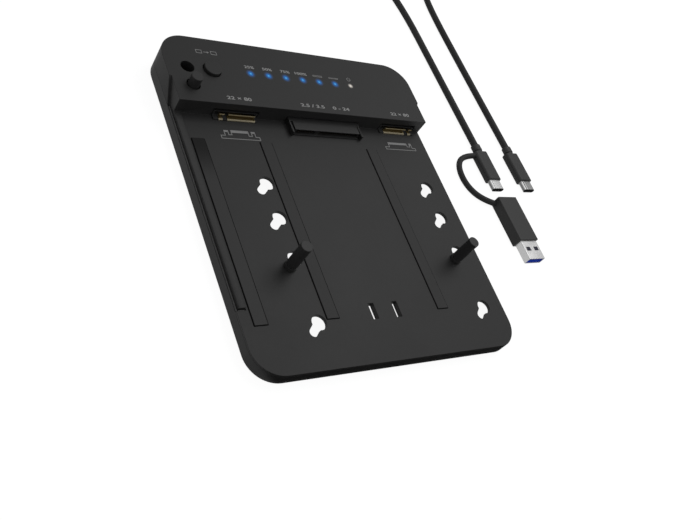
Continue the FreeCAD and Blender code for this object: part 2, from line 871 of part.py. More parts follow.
def knob_channel():
    """Where the knob can be, from side to side."""
    left = power_x - size("knob_gap")
    return (left, left + size("knob_width") + size("power_travel") + size("knob_gap") * 2)


def make_feet():
    for label, spot in FEET.items():
        top = floor_under + size("foot_sink")
        named(rod(label, spot, size("foot_radius"), DESK, top), label)


def make_strips():
    along = (strip_front, strip_front + size("strip_length"))
    for label, middle in STRIPS.items():
        across = centred(middle, size("strip_width"))
        named(block(label, across, along, plate_top, plate_top + size("strip_height")), label)


def make_post(label, x, y, low):
    """A stepped pin, turned from its outline: flange, neck, collar, waist and shaft."""
    body = new_body(label)
    sketch = new_sketch(body, "XZ_Plane", 0)
    flange = size("post_flange")
    neck = flange + size("post_play") * 2 + size("plate_thickness")
    collar = neck + size("post_collar")
    waist = collar + size("post_waist")
    tip = neck - size("post_play") + size("post_reach")
    chamfer = size("post_chamfer")
    shaft = size("post_shaft_radius")
    neck_radius = size("keyhole_slot") - size("post_fit")
    axis = size("post_flange") * 0
    points = [
        (axis, axis),
        (size("post_flange_radius"), axis),
        (size("post_flange_radius"), flange),
        (neck_radius, flange),
        (neck_radius, neck),
        (size("post_collar_radius"), neck),
        (size("post_collar_radius"), collar),
        (size("post_waist_radius"), collar),
        (size("post_waist_radius"), waist),
        (shaft, waist),
        (shaft, tip - chamfer),
        (shaft - chamfer, tip),
        (axis, tip),
    ]
    polygon(sketch, points)
    turned = body.newObject("PartDesign::Revolution", "Turned")
    turned.Profile = sketch
    turned.ReferenceAxis = (sketch, ["V_Axis"])
    turned.Angle = 360
    bind(body, "Placement.Base.x", x)
    bind(body, "Placement.Base.y", y)
    bind(body, "Placement.Base.z", low)


def make_board():
    """The circuit board, notched round the case's rear corner and bored for the cover's bosses."""
    body = new_body("main_board")
    notch = size("board_notch")
    right = board_right
    rear = board_rear
    left = board_left
    sketch = level(body, board_under)
    points = [(left, board_front), (right, board_front), (right, rear - size("board_notch_length"))]
    points += [(right - notch, rear), (left, rear)]
    polygon(sketch, points)
    grow(body, sketch, size("board_thickness"))
    cut_rounds(body, COVER_SCREWS[2:], size("boss_radius") + size("screw_play"), board_under, board_top)
    cut_rounds(body, BOARD_SCREWS, size("screw_radius") + size("screw_play"), board_under, board_top)


def make_card_socket(label, middle):
    """A card socket: a long housing whose lower lip runs out over the plate, with a slot behind it."""
    body = new_body(label)
    sill = plate_top + size("card_sill")
    slot_low = plate_top + size("card_slot_low")
    slot_high = plate_top + size("card_slot_high")
    top = plate_top + size("card_height")
    lip = bar_front - size("card_lip")
    rear = bar_front + size("card_set_back")
    foot = bar_inner_front + size("card_sill")
    across = centred(middle, size("card_width"))
    sketch = new_sketch(body, "YZ_Plane", across[0])
    points = [(lip, sill), (foot, sill), (foot, board_top), (rear, board_top), (rear, top)]
    points += [(bar_front, top), (bar_front, slot_low), (lip, slot_low)]
    polygon(sketch, points)
    grow(body, sketch, size("card_width"))
    wall = size("card_wall")
    inner = (across[0] + wall, across[1] - wall)
    cut_block(body, inner, (lip, bar_front + card_depth), slot_low, slot_high)


def make_card_contacts(label, middle, short_first):
    """Two rows of contacts, split by the key: one above the card and one below it, out over the lip."""
    total = size("card_width") - (size("card_wall") + size("contact_play")) * 2
    left = middle - total / 2
    short = size("contact_short")
    first = short if short_first else total - short - size("contact_notch")
    spans = [(left, left + first), (left + first + size("contact_notch"), left + total)]
    rear = bar_front + card_depth
    over_lip = (bar_front - size("card_lip"), rear)
    along = (rear - size("contact_reach"), rear)
    thin = size("contact_thickness")
    low = plate_top + size("card_slot_low")
    high = plate_top + size("card_slot_high")
    rows = []
    for index, span in enumerate(spans):
        rows.append(block(f"{label}_low_{index}", span, over_lip, low, low + thin))
        rows.append(block(f"{label}_high_{index}", span, along, high - thin, high))
    named(grouped(label, rows), label)


def make_drive_socket():
    """The drive socket: a keyed block whose lower lip runs out, a collar, thin ears and the contacts."""
    body = new_body("drive_socket")
    middle = size("drive_centre")
    block_across = centred(middle, size("drive_block"))
    ears = centred(middle, size("drive_ears"))
    front = bar_front - size("drive_reach")
    rear = bar_front + size("drive_set_back")
    low = plate_top + size("drive_low")
    high = plate_top + size("drive_high")
    root = bar_front
    foot = bar_inner_front + size("card_sill")
    sketch = new_sketch(body, "YZ_Plane", ears[0])
    points = [(root, low), (foot, low), (foot, board_top), (rear, board_top), (rear, high), (root, high)]
    polygon(sketch, points)
    grow(body, sketch, size("drive_ears"))
    slot_low = low + size("drive_floor")
    slot_high = high - size("drive_roof")
    add_block(body, ears, (root - size("drive_collar"), root), low, high)
    add_block(body, block_across, (front, root), low, high)
    cut_block(body, block_across, (front, front + size("drive_lip")), slot_low, high)
    ear = size("drive_ear")
    ear_front = root - size("drive_ear_reach")
    for across in ((ears[0], ears[0] + ear), (ears[1] - ear, ears[1])):
        add_block(body, across, (ear_front, root), low, high - size("drive_ear_drop"))
    key_left = block_across[0] + size("drive_key_from_left")
    key = (key_left, key_left + size("drive_key"))
    along = (front, front + size("drive_slot_depth"))
    side_wall = size("drive_side")
    cut_block(body, (block_across[0] + side_wall, key[0]), along, slot_low, slot_high)
    cut_block(body, (key[1], block_across[1] - side_wall), along, slot_low, slot_high)

    pins = []
    pitch = size("drive_pitch")
    width = size("drive_pin_width")
    pin_along = (along[1] - size("drive_pin_length"), along[1])
    signal = int(SIZES["drive_signal_pins"])
    power = int(SIZES["drive_power_pins"])
    pin_top = slot_low + size("drive_pin_height")
    starts = [key[0] - pitch * signal] * signal + [key[1] + pitch / 2 - pitch * signal] * power
    for index, start in enumerate(starts):
        left = start + pitch * index
        pins.append(block(f"drive_pin_{index}", (left, left + width), pin_along, slot_low, pin_top))
    named(grouped("drive_contacts", pins), "drive_contacts")


def make_button():
    """The clone button with its flange and plunger, and the switch body that the plunger enters."""
    spot = (button_x, button_y)
    flange_top = roof_under - size("screw_play")
    flange_low = flange_top - size("button_flange")
    cap = rod("clone_cap", spot, size("button_radius"), flange_low, bar_top + size("button_rise"))
    flange = rod("clone_flange", spot, size("button_radius") + size("button_gap") * 3, flange_low, flange_top)
    named(joined("clone_button", [cap, flange]), "clone_button")
    plunger_low = flange_low - size("plunger_length")
    named(rod("clone_plunger", spot, size("plunger_radius"), plunger_low, flange_low), "clone_plunger")
    across = centred(spot[0], size("switch_width"))
    along = centred(spot[1], size("switch_width"))
    can = block("switch_can", across, along, board_top, board_top + size("switch_height"))
    bore_low = plunger_low - size("button_travel") - size("knob_gap")
    bore = rod("switch_bore", spot, size("plunger_radius") + size("post_play"), bore_low,
               board_top + size("switch_height") + ABOVE)
    named(less("clone_switch", can, bore), "clone_switch")


def make_lights():
    chips = []
    for index, spot in enumerate(LIGHTS, start=1):
        chip_top = board_top + size("chip_height")
        label = f"light_pipe_{index}"
        named(rod(label, spot, size("light_radius"), chip_top + size("chip_gap"), bar_top), label)
        across = centred(spot[0], size("chip_width"))
        along = centred(spot[1], size("chip_width"))
        chips.append(block(f"light_chip_{index}", across, along, board_top, chip_top))
    named(grouped("light_chips", chips), "light_chips")


def make_screws():
    screws = []
    for index, spot in enumerate(COVER_SCREWS):
        head_low = floor_under + size("screw_sink") - size("screw_head")
        head_top = floor_under + size("screw_sink")
        head = rod(f"cover_head_{index}", spot, size("screw_head_radius"), head_low, head_top)
        tip = head_top + size("screw_reach")
        shank = rod(f"cover_shank_{index}", spot, size("screw_radius"), head_top, tip)
        screws.append(joined(f"cover_screw_{index}", [head, shank]))
    named(grouped("cover_screws", screws), "cover_screws")
    screws = []
    for index, spot in enumerate(BOARD_SCREWS):
        head_top = board_top + size("screw_head")
        head = rod(f"board_head_{index}", spot, size("screw_head_radius"), board_top, head_top)
        shank = rod(f"board_shank_{index}", spot, size("screw_radius"),
                    board_top - size("board_screw_reach"), board_top)
        screws.append(joined(f"board_screw_{index}", [head, shank]))
    named(grouped("board_screws", screws), "board_screws")


def make_ports():
    """The data port with its tongue, the power inlet with its pin, and the slide switch."""
    body = new_body("data_port_shell")
    mouth = back - size("port_set_back")
    rear = mouth - size("port_depth")
    sketch = new_sketch(body, "XZ_Plane", -mouth)
    across = centred(size("port_x"), size("port_width"))
    high = board_top + size("port_height")
    rounded(sketch, *across, board_top, high, size("port_round"))
    grow(body, sketch, size("port_depth"))
    wall = size("port_wall")
    sketch = new_sketch(body, "XZ_Plane", -(rear + size("port_back")))
    inner_round = size("port_round") - wall
    rounded(sketch, across[0] + wall, across[1] - wall, board_top + wall, high - wall, inner_round)
    sink(body, sketch, size("port_depth") - size("port_back"))
    centre = board_top + size("port_height") / 2
    half = size("tongue_height") / 2
    inside = rear + size("port_back")
    tongue = block("data_port_tongue", centred(size("port_x"), size("tongue_width")),
                   (inside, inside + size("tongue_length")), centre - half, centre + half)
    named(tongue, "data_port_tongue")

    jack_front = inner_back - size("port_play")
    jack_rear = jack_front - size("jack_depth")
    across = centred(jack_x, size("jack_width"))
    jack_top = board_top + size("jack_height")
    body_block = block("jack_block", across, (jack_rear, jack_front), board_top, jack_top)
    bore = rod_along("jack_bore_tool", jack_x, jack_height(), size("jack_bore"),
                     jack_front - size("jack_bore_depth"), jack_front + ABOVE)
    named(less("power_inlet_body", body_block, bore), "power_inlet_body")
    bottom = jack_front - size("jack_bore_depth")
    pin = rod_along("power_inlet_pin", jack_x, jack_height(), size("jack_pin_radius"), bottom,
                    jack_front - size("jack_pin_tail"))
    named(pin, "power_inlet_pin")

    channel = knob_channel()
    middle = (channel[0] + channel[1]) / 2
    can_along = (jack_front - size("power_depth"), jack_front)
    across = centred(middle, size("power_width"))
    can = block("power_can", across, can_along, board_top, board_top + size("power_height"))
    gap = size("knob_gap")
    slot_along = (jack_front - size("knob_depth") - gap, jack_front + ABOVE)
    slot = block("power_slot", channel, slot_along, knob_low() - gap, knob_high() + gap)
    named(less("power_switch_body", can, slot), "power_switch_body")
    knob = block("power_switch_knob", (power_x, power_x + size("knob_width")),
                 (jack_front - size("knob_depth"), back - size("knob_set_back")), knob_low(), knob_high())
    named(knob, "power_switch_knob")


def make_board_parts():
    high = board_top + size("package_height")
    for label, (x, width) in PACKAGES.items():
        named(block(label, centred(x, width), centred(package_y, width), board_top, high), label)
    coils = []
    for index in range(2):
        middle = size("coil_part_x") + size("coil_part_pitch") * index
        across = centred(middle, size("coil_part_side"))
        along = centred(back - size("coil_part_inset"), size("coil_part_side"))
        top = board_top + size("coil_part_height")
        coils.append(block(f"power_coil_{index}", across, along, board_top, top))
    named(grouped("power_coils", coils), "power_coils")


# The cable set.


def round_bar(body, x, height, width, z, radius, front, length):
    """A bar with a rounded section that runs back from its front end."""
    sketch = new_sketch(body, "XZ_Plane", -front)
    rounded(sketch, x - width / 2, x + width / 2, z - height / 2, z + height / 2, radius)
    grow(body, sketch, length).Reversed = True


def make_plug(letter, x):
    """A moulded plug with its strain relief and its hollow metal shell."""
    centre = size("plug_height") / 2
    front = size("plug_front")
    body = new_body(f"plug_{letter}_body")
    round_bar(body, x, size("plug_height"), size("plug_width"), centre, size("plug_round"), front,
              size("plug_length"))
    sketch = new_sketch(body, "XZ_Plane", -(front + size("plug_length")))
    circle(sketch, x, centre, size("relief_neck_radius"))
    grow(body, sketch, size("relief_length")).Reversed = True
    sketch = new_sketch(body, "XZ_Plane", -(front + size("plug_length") + size("relief_neck")))
    circle(sketch, x, centre, size("relief_radius"))
    grow(body, sketch, size("relief_length") - size("relief_neck")).Reversed = True

    shell = new_body(f"plug_{letter}_shell")
    length = size("shell_length")
    mouth = front - length
    round_bar(shell, x, size("shell_height"), size("shell_width"), centre, size("shell_round"), mouth, length)
    wall = size("shell_wall")
    sketch = new_sketch(shell, "XZ_Plane", -(front - wall))
    half = size("shell_width") / 2 - wall
    rise = size("shell_height") / 2 - wall
    rounded(sketch, x - half, x + half, centre - rise, centre + rise, size("shell_round") - wall)
    sink(shell, sketch, length - wall).Reversed = True


def make_adapter():
    """The adapter: a flat block with a socket behind and a wide hollow plug in front."""
    x = size("adapter_x")
    rear = size("adapter_rear")
    front = rear - size("adapter_length")
    height = size("adapter_height")
    centre = height / 2
    body = new_body("adapter_body")
    round_bar(body, x, height, size("adapter_width"), centre, size("adapter_round"), front,
              size("adapter_length"))
    sketch = new_sketch(body, "XZ_Plane", -(rear - size("shell_length")))
    play = size("port_play")
    half = size("shell_width") / 2 + play
    rise = size("shell_height") / 2 + play
    rounded(sketch, x - half, x + half, centre - rise, centre + rise, size("shell_round"))
    sink(body, sketch, size("shell_length") + ABOVE)

    shell = new_body("adapter_shell")
    length = size("adapter_shell_length")
    wall = size("adapter_shell_wall")
    mouth = front - length
    width = size("adapter_shell_width")
    tall = size("adapter_shell_height")
    round_bar(shell, x, tall, width, centre, wall, mouth, length)
    mouth_across = centred(x, width - wall * 2)
    cut_block(shell, mouth_across, (mouth, front - wall), centre - tall / 2 + wall, centre + tall / 2 - wall)
    hole = size("adapter_hole")
    middle = mouth + size("adapter_hole_from_mouth")
    for spot in centred(x, size("adapter_hole_pitch")):
        cut_block(shell, centred(spot, hole), centred(middle, hole), centre, centre + tall / 2 + wall)

    across = centred(x, size("adapter_tongue_width"))
    along = (mouth + size("adapter_tongue_set_back"), front - wall)
    tongue = block("adapter_tongue", across, along, centre - tall / 2 + wall, centre - tall / 2 + wall
                   + size("adapter_tongue_height"))
    named(tongue, "adapter_tongue")


def tube(label, route, radius):
    """A tube along straight runs joined by tangent arcs, each as large as its two runs allow."""
    spots = [FreeCAD.Vector(*spot) for spot in route]
    edges = []
    radii = []
    start = spots[0]
    for before, corner, after in zip(spots, spots[1:], spots[2:]):
        into = (corner - before).normalize()
        out = (after - corner).normalize()
        turn = into.getAngle(out)
        trim = ARC_SHARE * min((corner - before).Length, (after - corner).Length)
        bend = trim / math.tan(turn / 2)
        radii.append(round(bend, 1))
        arc_start = corner - into * trim
        arc_end = corner + out * trim
        inward = (out - into).normalize()
        middle = corner + inward * (bend / math.cos(turn / 2) - bend)
        edges.append(Part.LineSegment(start, arc_start).toShape())
        edges.append(Part.Arc(arc_start, middle, arc_end).toShape())
        start = arc_end
    edges.append(Part.LineSegment(start, spots[-1]).toShape())
    path = Part.Wire(edges)
    heading = (spots[1] - spots[0]).normalize()
    ring = Part.Wire([Part.Circle(spots[0], heading, radius.number).toShape()])
    solid = path.makePipeShell([ring], True, False)
    thing = doc.addObject("Part::Feature", label)
    thing.Shape = solid
    expected = math.pi * radius.number**2 * path.Length
    share = solid.Volume / expected
    print(f"{label}: radii {radii}, length {path.Length:.1f}, volume {share:.4f} of section by length")
    return named(thing, label)


def make_cable():
    tube("cable_lead_a", LEAD_A_ROUTE, size("cable_radius"))
    tube("cable_lead_b", LEAD_B_ROUTE, size("cable_radius"))
    tube("adapter_strap", STRAP_ROUTE, size("strap_radius"))

    body = new_body("cable_coil")
    sketch = new_sketch(body, "XZ_Plane", 0)
    inner = size("coil_radius") - size("coil_band") / 2
    outer = size("coil_radius") + size("coil_band") / 2
    low = size("coil_height") * 0
    high = size("coil_height")
    cut = size("coil_chamfer")
    points = [(inner + cut, low), (outer - cut, low), (outer, low + cut), (outer, high - cut)]
    points += [(outer - cut, high), (inner + cut, high), (inner, high - cut), (inner, low + cut)]
    polygon(sketch, points)
    ring = body.newObject("PartDesign::Revolution", "Ring")
    ring.Profile = sketch
    ring.ReferenceAxis = (sketch, ["V_Axis"])
    ring.Angle = 360
    bind(body, "Placement.Base.x", size("coil_x"))
    bind(body, "Placement.Base.y", size("coil_y"))


def write_parts():
    """Checks every object and writes each sub-part to its own file."""
    doc.recompute()
    failed = [thing.Label for thing in doc.Objects if "Invalid" in thing.State or "Error" in thing.State]
    if failed:
        raise RuntimeError(f"these objects failed: {failed}")
    os.makedirs("parts", exist_ok=True)
    for thing in nodes:
        shape = thing.Shape
        if shape.isNull() or not shape.isValid() or not shape.Solids:
            raise RuntimeError(f"{thing.Label} has no valid solid")
        shape.exportStep(os.path.join("parts", thing.Label + ".step"))
    print(f"{len(nodes)} sub-parts written")


make_base()
make_cover()
make_feet()
make_strips()
make_post("post_left", keyhole_left, POST_ROW, post_flange_low)
make_post("post_right", keyhole_right, POST_ROW, post_flange_low)
make_post("post_spare", *STORES[0], floor_top - size("store_sink") + size("store_seat"))
make_board()
make_card_socket("card_socket_left", card_left)
make_card_socket("card_socket_right", keyhole_right)
make_card_contacts("card_contacts_left", card_left, True)
make_card_contacts("card_contacts_right", keyhole_right, False)
make_drive_socket()
make_button()
make_lights()
make_screws()
make_ports()
make_board_parts()
make_plug("a", size("lead_a_x"))
make_plug("b", size("lead_b_x"))
make_adapter()
make_cable()
write_parts()
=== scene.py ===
from math import cos, pi, radians, sin

import bmesh
import bpy
from mathutils import Matrix, Vector


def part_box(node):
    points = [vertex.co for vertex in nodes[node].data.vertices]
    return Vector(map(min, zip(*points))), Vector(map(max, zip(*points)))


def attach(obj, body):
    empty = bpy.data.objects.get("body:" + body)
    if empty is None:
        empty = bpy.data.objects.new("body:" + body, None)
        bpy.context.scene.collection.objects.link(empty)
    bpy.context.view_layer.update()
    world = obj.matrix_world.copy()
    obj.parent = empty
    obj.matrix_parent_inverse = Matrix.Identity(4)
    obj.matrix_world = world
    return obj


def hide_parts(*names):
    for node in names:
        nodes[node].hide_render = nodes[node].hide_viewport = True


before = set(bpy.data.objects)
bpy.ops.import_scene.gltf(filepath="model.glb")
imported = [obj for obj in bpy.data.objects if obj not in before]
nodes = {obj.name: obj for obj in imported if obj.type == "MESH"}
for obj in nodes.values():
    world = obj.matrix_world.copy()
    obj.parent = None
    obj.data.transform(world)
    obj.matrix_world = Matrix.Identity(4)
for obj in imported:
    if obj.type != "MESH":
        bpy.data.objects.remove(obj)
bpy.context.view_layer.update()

scene = bpy.context.scene
scene.view_settings.view_transform = "Standard"
MM = 0.001


# The camera: low over the front left corner, rolled a little, looking across the tray to the rear. Its place,
# its three directions and its focal length were solved from the keyholes and the outline of the case.

focal_pixels, picture_width, sensor_width = 800.70, 700, 36
camera_place = (-0.2137, -0.1742, 0.2417)
to_right = Vector((0.79901, -0.34421, 0.49306))
to_bottom = Vector((-0.03234, -0.84337, -0.53636))
to_front = Vector((0.60045, 0.41261, -0.68499))
camera_data = bpy.data.cameras.new("camera")
camera_data.sensor_width = sensor_width
camera_data.lens = focal_pixels / picture_width * sensor_width
camera_data.clip_start = 0.01
camera = bpy.data.objects.new("camera", camera_data)
scene.collection.objects.link(camera)
turn = Matrix((to_right, -to_bottom, -to_front)).transposed().to_4x4()
camera.matrix_world = Matrix.Translation(camera_place) @ turn
scene.camera = camera


# The floor and the light: a plain pale table, a soft lamp up on the right behind the tray, a dim even room,
# and a black card on the table before the front edge, which only mirrored rays see.

class Shade:
    """A socket of one material; arithmetic on it adds Math nodes."""

    def __init__(self, tree, socket=None):
        self.tree, self.socket = tree, socket

    def node(self, kind, settings=None, values=None, output=0):
        """Adds a node, sets it, then links or sets its sockets."""
        made = self.tree.nodes.new("ShaderNode" + kind)
        for name, value in (settings or {}).items():
            if name == "stops":
                ramp = made.color_ramp
                while len(ramp.elements) < len(value):
                    ramp.elements.new(0.5)
                for element, (place, colour) in zip(ramp.elements, value):
                    element.position, element.color = place, colour
            else:
                setattr(made, name, value)
        for name, value in (values or {}).items():
            if isinstance(value, Shade):
                self.tree.links.new(value.socket, made.inputs[name])
            else:
                made.inputs[name].default_value = value
        return Shade(self.tree, made.outputs[output]) if len(made.outputs) else made

    def maths(self, operation, first, second=0.0, third=0.0):
        return self.node("Math", {"operation": operation}, {0: first, 1: second, 2: third})

    def __add__(self, other):
        return self.maths("ADD", self, other)

    def __radd__(self, other):
        return self.maths("ADD", other, self)

    def __sub__(self, other):
        return self.maths("SUBTRACT", self, other)

    def __rsub__(self, other):
        return self.maths("SUBTRACT", other, self)

    def __mul__(self, other):
        return self.maths("MULTIPLY", self, other)

    def __rmul__(self, other):
        return self.maths("MULTIPLY", other, self)

    def __gt__(self, other):
        return self.maths("GREATER_THAN", self, other)

    def __lt__(self, other):
        return self.maths("LESS_THAN", self, other)

    def part(self, index):
        """X, Y or Z of a place, as 0, 1 or 2."""
        return self.node("SeparateXYZ", values={0: self}, output=index)

    def mix(self, factor, first, second):
        return self.node("Mix", {"data_type": "RGBA"}, {0: factor, 6: first, 7: second}, 2)

    def ramp(self, stops):
        """A colour for each value of this socket, between stops of place and colour."""
        return self.node("ValToRGB", {"stops": stops}, {"Fac": self})


def srgb(red, green=None, blue=None):
    """A colour written as on a screen, 0 to 255, as Blender's own numbers; one number is a grey."""
    green, blue = (red if green is None else green), (red if blue is None else blue)
    shares = [value / 255 for value in (red, green, blue)]
    return tuple(s / 12.92 if s < 0.0404 else ((s + 0.055) / 1.055) ** 2.4 for s in shares) + (1.0,)


def new_material(name, **fixed):
    """A material with one principled shader; sockets that stay the same all over are set here."""
    material = bpy.data.materials.new(name)
    material.use_nodes = True
    shader = material.node_tree.nodes["Principled BSDF"]
    for socket, value in fixed.items():
        shader.inputs[socket.replace("_", " ")].default_value = value
    return material, Shade(material.node_tree), shader


def feed(shader, socket, value):
    """Links a Shade to a socket of the principled shader."""
    value.tree.links.new(value.socket, shader.inputs[socket])


def placed(name, shape, material, smooth=None):
    """An object of a finished shape; where smooth is given, edges past that angle stay sharp."""
    mesh = bpy.data.meshes.new(name)
    shape.to_mesh(mesh)
    shape.free()
    mesh.materials.append(material)
    if smooth:
        for face in mesh.polygons:
            face.use_smooth = True
        mesh.set_sharp_from_angle(angle=radians(smooth))
    made = bpy.data.objects.new(name, mesh)
    scene.collection.objects.link(made)
    return made


def sight(shade, direct, mirrored):
    """How bright a white ground is to the eye, and in a mirror or through glass."""
    seen = shade.node("LightPath", output="Is Camera Ray")
    glossy = shade.node("LightPath", output="Is Glossy Ray")
    through = shade.node("LightPath", output="Is Transmission Ray")
    return shade.maths("MAXIMUM", seen * direct, shade.maths("MAXIMUM", glossy, through) * mirrored)


floor_white = bpy.data.materials.new("floor_white")
floor_white.use_nodes = True
floor_white.node_tree.nodes.clear()
ground = Shade(floor_white.node_tree)
matt = ground.node("BsdfDiffuse", values={"Color": (0.22, 0.22, 0.22, 1)})
glow = ground.node("Emission", values={
    "Color": (1, 1, 1, 1), "Strength": sight(ground, direct=0.93, mirrored=0.5)})
ground.node("OutputMaterial", values={"Surface": ground.node("AddShader", values={0: matt, 1: glow})})
shape = bmesh.new()
bmesh.ops.create_grid(shape, x_segments=1, y_segments=1, size=3.0)
placed("floor", shape, floor_white)

flag_size, flag_place = (0.28, 0.16, 1), (0.058, -0.1618, 0.0004)
flag_black, shade, shader = new_material("flag_black", Roughness=0.9, Specular_IOR_Level=0.1)
tone = shade.node("TexNoise", values={"Vector": shade.node("TexCoord", output="Object"), "Scale": 60.0})
feed(shader, "Base Color", shade.mix(tone, srgb(12), srgb(20)))
shape = bmesh.new()
bmesh.ops.create_grid(shape, x_segments=1, y_segments=1, size=0.5)
bmesh.ops.scale(shape, vec=flag_size, verts=shape.verts)
bmesh.ops.translate(shape, vec=flag_place, verts=shape.verts)
flag = placed("flag", shape, flag_black)
flag.visible_camera = False
flag.visible_shadow = False
flag.visible_diffuse = False

key_data = bpy.data.lights.new("key", "AREA")
key_data.shape, key_data.size = "DISK", 0.5
key_data.energy = 1.02
key = bpy.data.objects.new("key", key_data)
scene.collection.objects.link(key)
key.location = (0.33, 0.17, 0.58)
key.rotation_euler = (-Vector(key.location)).to_track_quat("-Z", "Y").to_euler()

room_light = 0.32
room = bpy.data.worlds.new("room")
scene.world = room
room.use_nodes = True
room.node_tree.nodes.clear()
air = Shade(room.node_tree)
strength = air.maths("MAXIMUM", sight(air, direct=1.0, mirrored=0.42), room_light)
air.node("OutputWorld", values={
    "Surface": air.node("Background", values={"Color": (1, 1, 1, 1), "Strength": strength})})


# The case: two mouldings in fine-grained black plastic that clip and screw together, the cover with the
# plate and the hollow bar in one piece. Both are the source's shapes, welded, with every edge broken as a
# mould leaves it. Round each light pipe the roof of the bar has a painted glow, blue or white, which the
# cover's own material gives out.

def moulded(shade, shader, dark, pale, rough, grain, depth):
    """Feeds faint flow marks between two tones and a fine grain, and gives the place that they read."""
    place = shade.node("TexCoord", output="Object")
    clouds = shade.node("TexNoise", values={"Vector": place, "Scale": 45.0, "Detail": 3.0})
    grains = shade.node("TexNoise", values={"Vector": place, "Scale": grain, "Detail": 2.0})
    feed(shader, "Base Color", shade.mix(clouds, dark, pale))
    feed(shader, "Roughness", clouds * 0.08 + grains * 0.06 + (rough - 0.07))
    feed(shader, "Normal", grained(shade, grains, depth))
    return place


def grained(shade, grains, depth):
    """Turns a noise into a relief of a depth in millimetres."""
    return shade.node("Bump", values={"Strength": 0.35, "Distance": depth * MM, "Height": grains})


def plastic(name, colour, rough=0.5, grain=900.0, depth=0.004, fleck=0.1, **fixed):
    """Moulded plastic of an even colour, which varies by the share given as fleck."""
    material, shade, shader = new_material(name, **fixed)
    dark = tuple(v * (1 - fleck) for v in colour[:3]) + (1.0,)
    pale = tuple(v * (1 + fleck) for v in colour[:3]) + (1.0,)
    moulded(shade, shader, dark, pale, rough, grain, depth)
    return material


def softened(node, name, material, edge=0.15, body="case", segments=2, reshape=None):
    """Stands for a node with its own shape, its sharp edges rounded by a width; reshape alters it first."""
    shape = bmesh.new()
    shape.from_mesh(nodes[node].data)
    bmesh.ops.remove_doubles(shape, verts=shape.verts, dist=0.0005 * MM)
    bmesh.ops.dissolve_limit(shape, angle_limit=radians(0.3), verts=shape.verts, edges=shape.edges)
    if reshape:
        reshape(shape)
    piece = placed(name, shape, material, smooth=35)
    rounding = piece.modifiers.new("rounding", "BEVEL")
    rounding.limit_method, rounding.angle_limit = "ANGLE", radians(38)
    rounding.width, rounding.segments = edge * MM, segments
    rounding.use_clamp_overlap = False
    rounding.harden_normals = True
    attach(piece, body)
    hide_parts(node)


black = (0, 0, 0, 1)
light_pitch, lights_y, painted_glow_radius = 9.47 * MM, 63.0 * MM, 2.5 * MM
bar_z, roof = 15.5, 1.2
case_black = plastic("case_black", srgb(43), rough=0.52, Specular_IOR_Level=0.35)
cover_black, shade, shader = new_material("cover_black", Specular_IOR_Level=0.35, Emission_Strength=1.0)
place = moulded(shade, shader, srgb(41), srgb(45), rough=0.52, grain=900.0, depth=0.004)
# A painted glow: the cover's own emission, blue round six pipes and white round the last, fading out from
# each.
across, off_row = place.part(0), place.part(1) - lights_y
off_light = shade.maths("WRAP", across, light_pitch / 2, -light_pitch / 2)
reach = shade.maths("SQRT", off_light * off_light + off_row * off_row) * (1 / painted_glow_radius)
under_roof = place.part(2) > (bar_z - roof) * MM
in_row = (shade.maths("ABSOLUTE", across + 0.5 * light_pitch) < 3 * light_pitch) * under_roof
last_one = (shade.maths("ABSOLUTE", across - 3 * light_pitch) < 0.5 * light_pitch) * under_roof
painted_blue_glow = reach.ramp([(0.0, srgb(38, 120, 205)), (0.42, srgb(24, 92, 165)), (0.62, srgb(12, 50, 92)),
                        (1.0, black)])
painted_white_glow = reach.ramp([(0.0, srgb(190, 184, 176)), (0.45, srgb(140, 136, 130)), (0.56, srgb(40)),
                         (0.8, black)])
feed(shader, "Emission Color", shade.mix(last_one, shade.mix(in_row, black, painted_blue_glow), painted_white_glow))
softened("top_cover", "cover_moulding", cover_black)
softened("base_shell", "base_moulding", case_black)


# The root of the rail: a soft fillet along the bottom of the channel beside the rail and round its front end,
# moulded with the cover. Its grey is far paler than the cover's: painted light that lifts the shade in the
# channel.

def blocks(name, boxes, edge, material, segments=3):
    """One piece of the case made of round-edged blocks, each from its least to its greatest corner."""
    shape = bmesh.new()
    for least, most in boxes:
        least, most = Vector(least) * MM, Vector(most) * MM
        made = bmesh.ops.create_cube(shape, size=1.0)["verts"]
        bmesh.ops.scale(shape, vec=most - least, verts=made)
        bmesh.ops.translate(shape, vec=(most + least) / 2, verts=made)
        edges = {e for v in made for e in v.link_edges}
        bmesh.ops.bevel(shape, geom=list(edges), offset=edge * MM, offset_type="OFFSET", segments=segments,
                        profile=0.5, affect="EDGES", material=-1)
    piece = placed(name, shape, material, smooth=50)
    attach(piece, "case")


# Painted light: a grey far paler than the cover, to lift the shade in the channel.
root_painted_pale = plastic("root_painted_pale", srgb(118), rough=0.6, Specular_IOR_Level=0.35)
channel_front, channel_rear = -53.1, 47.3
along_channel = ((-69.44, channel_front, 5.2), (-68.78, channel_rear, 6.5))
before_rail = ((-68.6, channel_front, 6.32), (-65.8, -52.6, 6.95))
blocks("rail_root", [along_channel, before_rail], 0.12, root_painted_pale)


# The collars of the two cable slots: a low wall under the plate round each of them, moulded with the cover,
# which makes the slots look deeper than the plate is thick.

slot_front, slot_rear, slot_half = -62.0, -54.5, 1.4
collar_top, collar_foot, collar_wall, joint = 5.85, 4.8, 1.0, 0.1
collars = []
for middle in (-7.0, 5.6):
    for side in (-slot_half - collar_wall, slot_half):
        collars.append(((middle + side, slot_front - collar_wall, collar_foot),
                        (middle + side + collar_wall, slot_rear + collar_wall, collar_top)))
    for end in (slot_front - collar_wall, slot_rear):
        collars.append(((middle - slot_half - joint, end, collar_foot + joint / 2),
                        (middle + slot_half + joint, end + collar_wall, collar_top)))
blocks("slot_collars", collars, 0.12, case_black, 2)
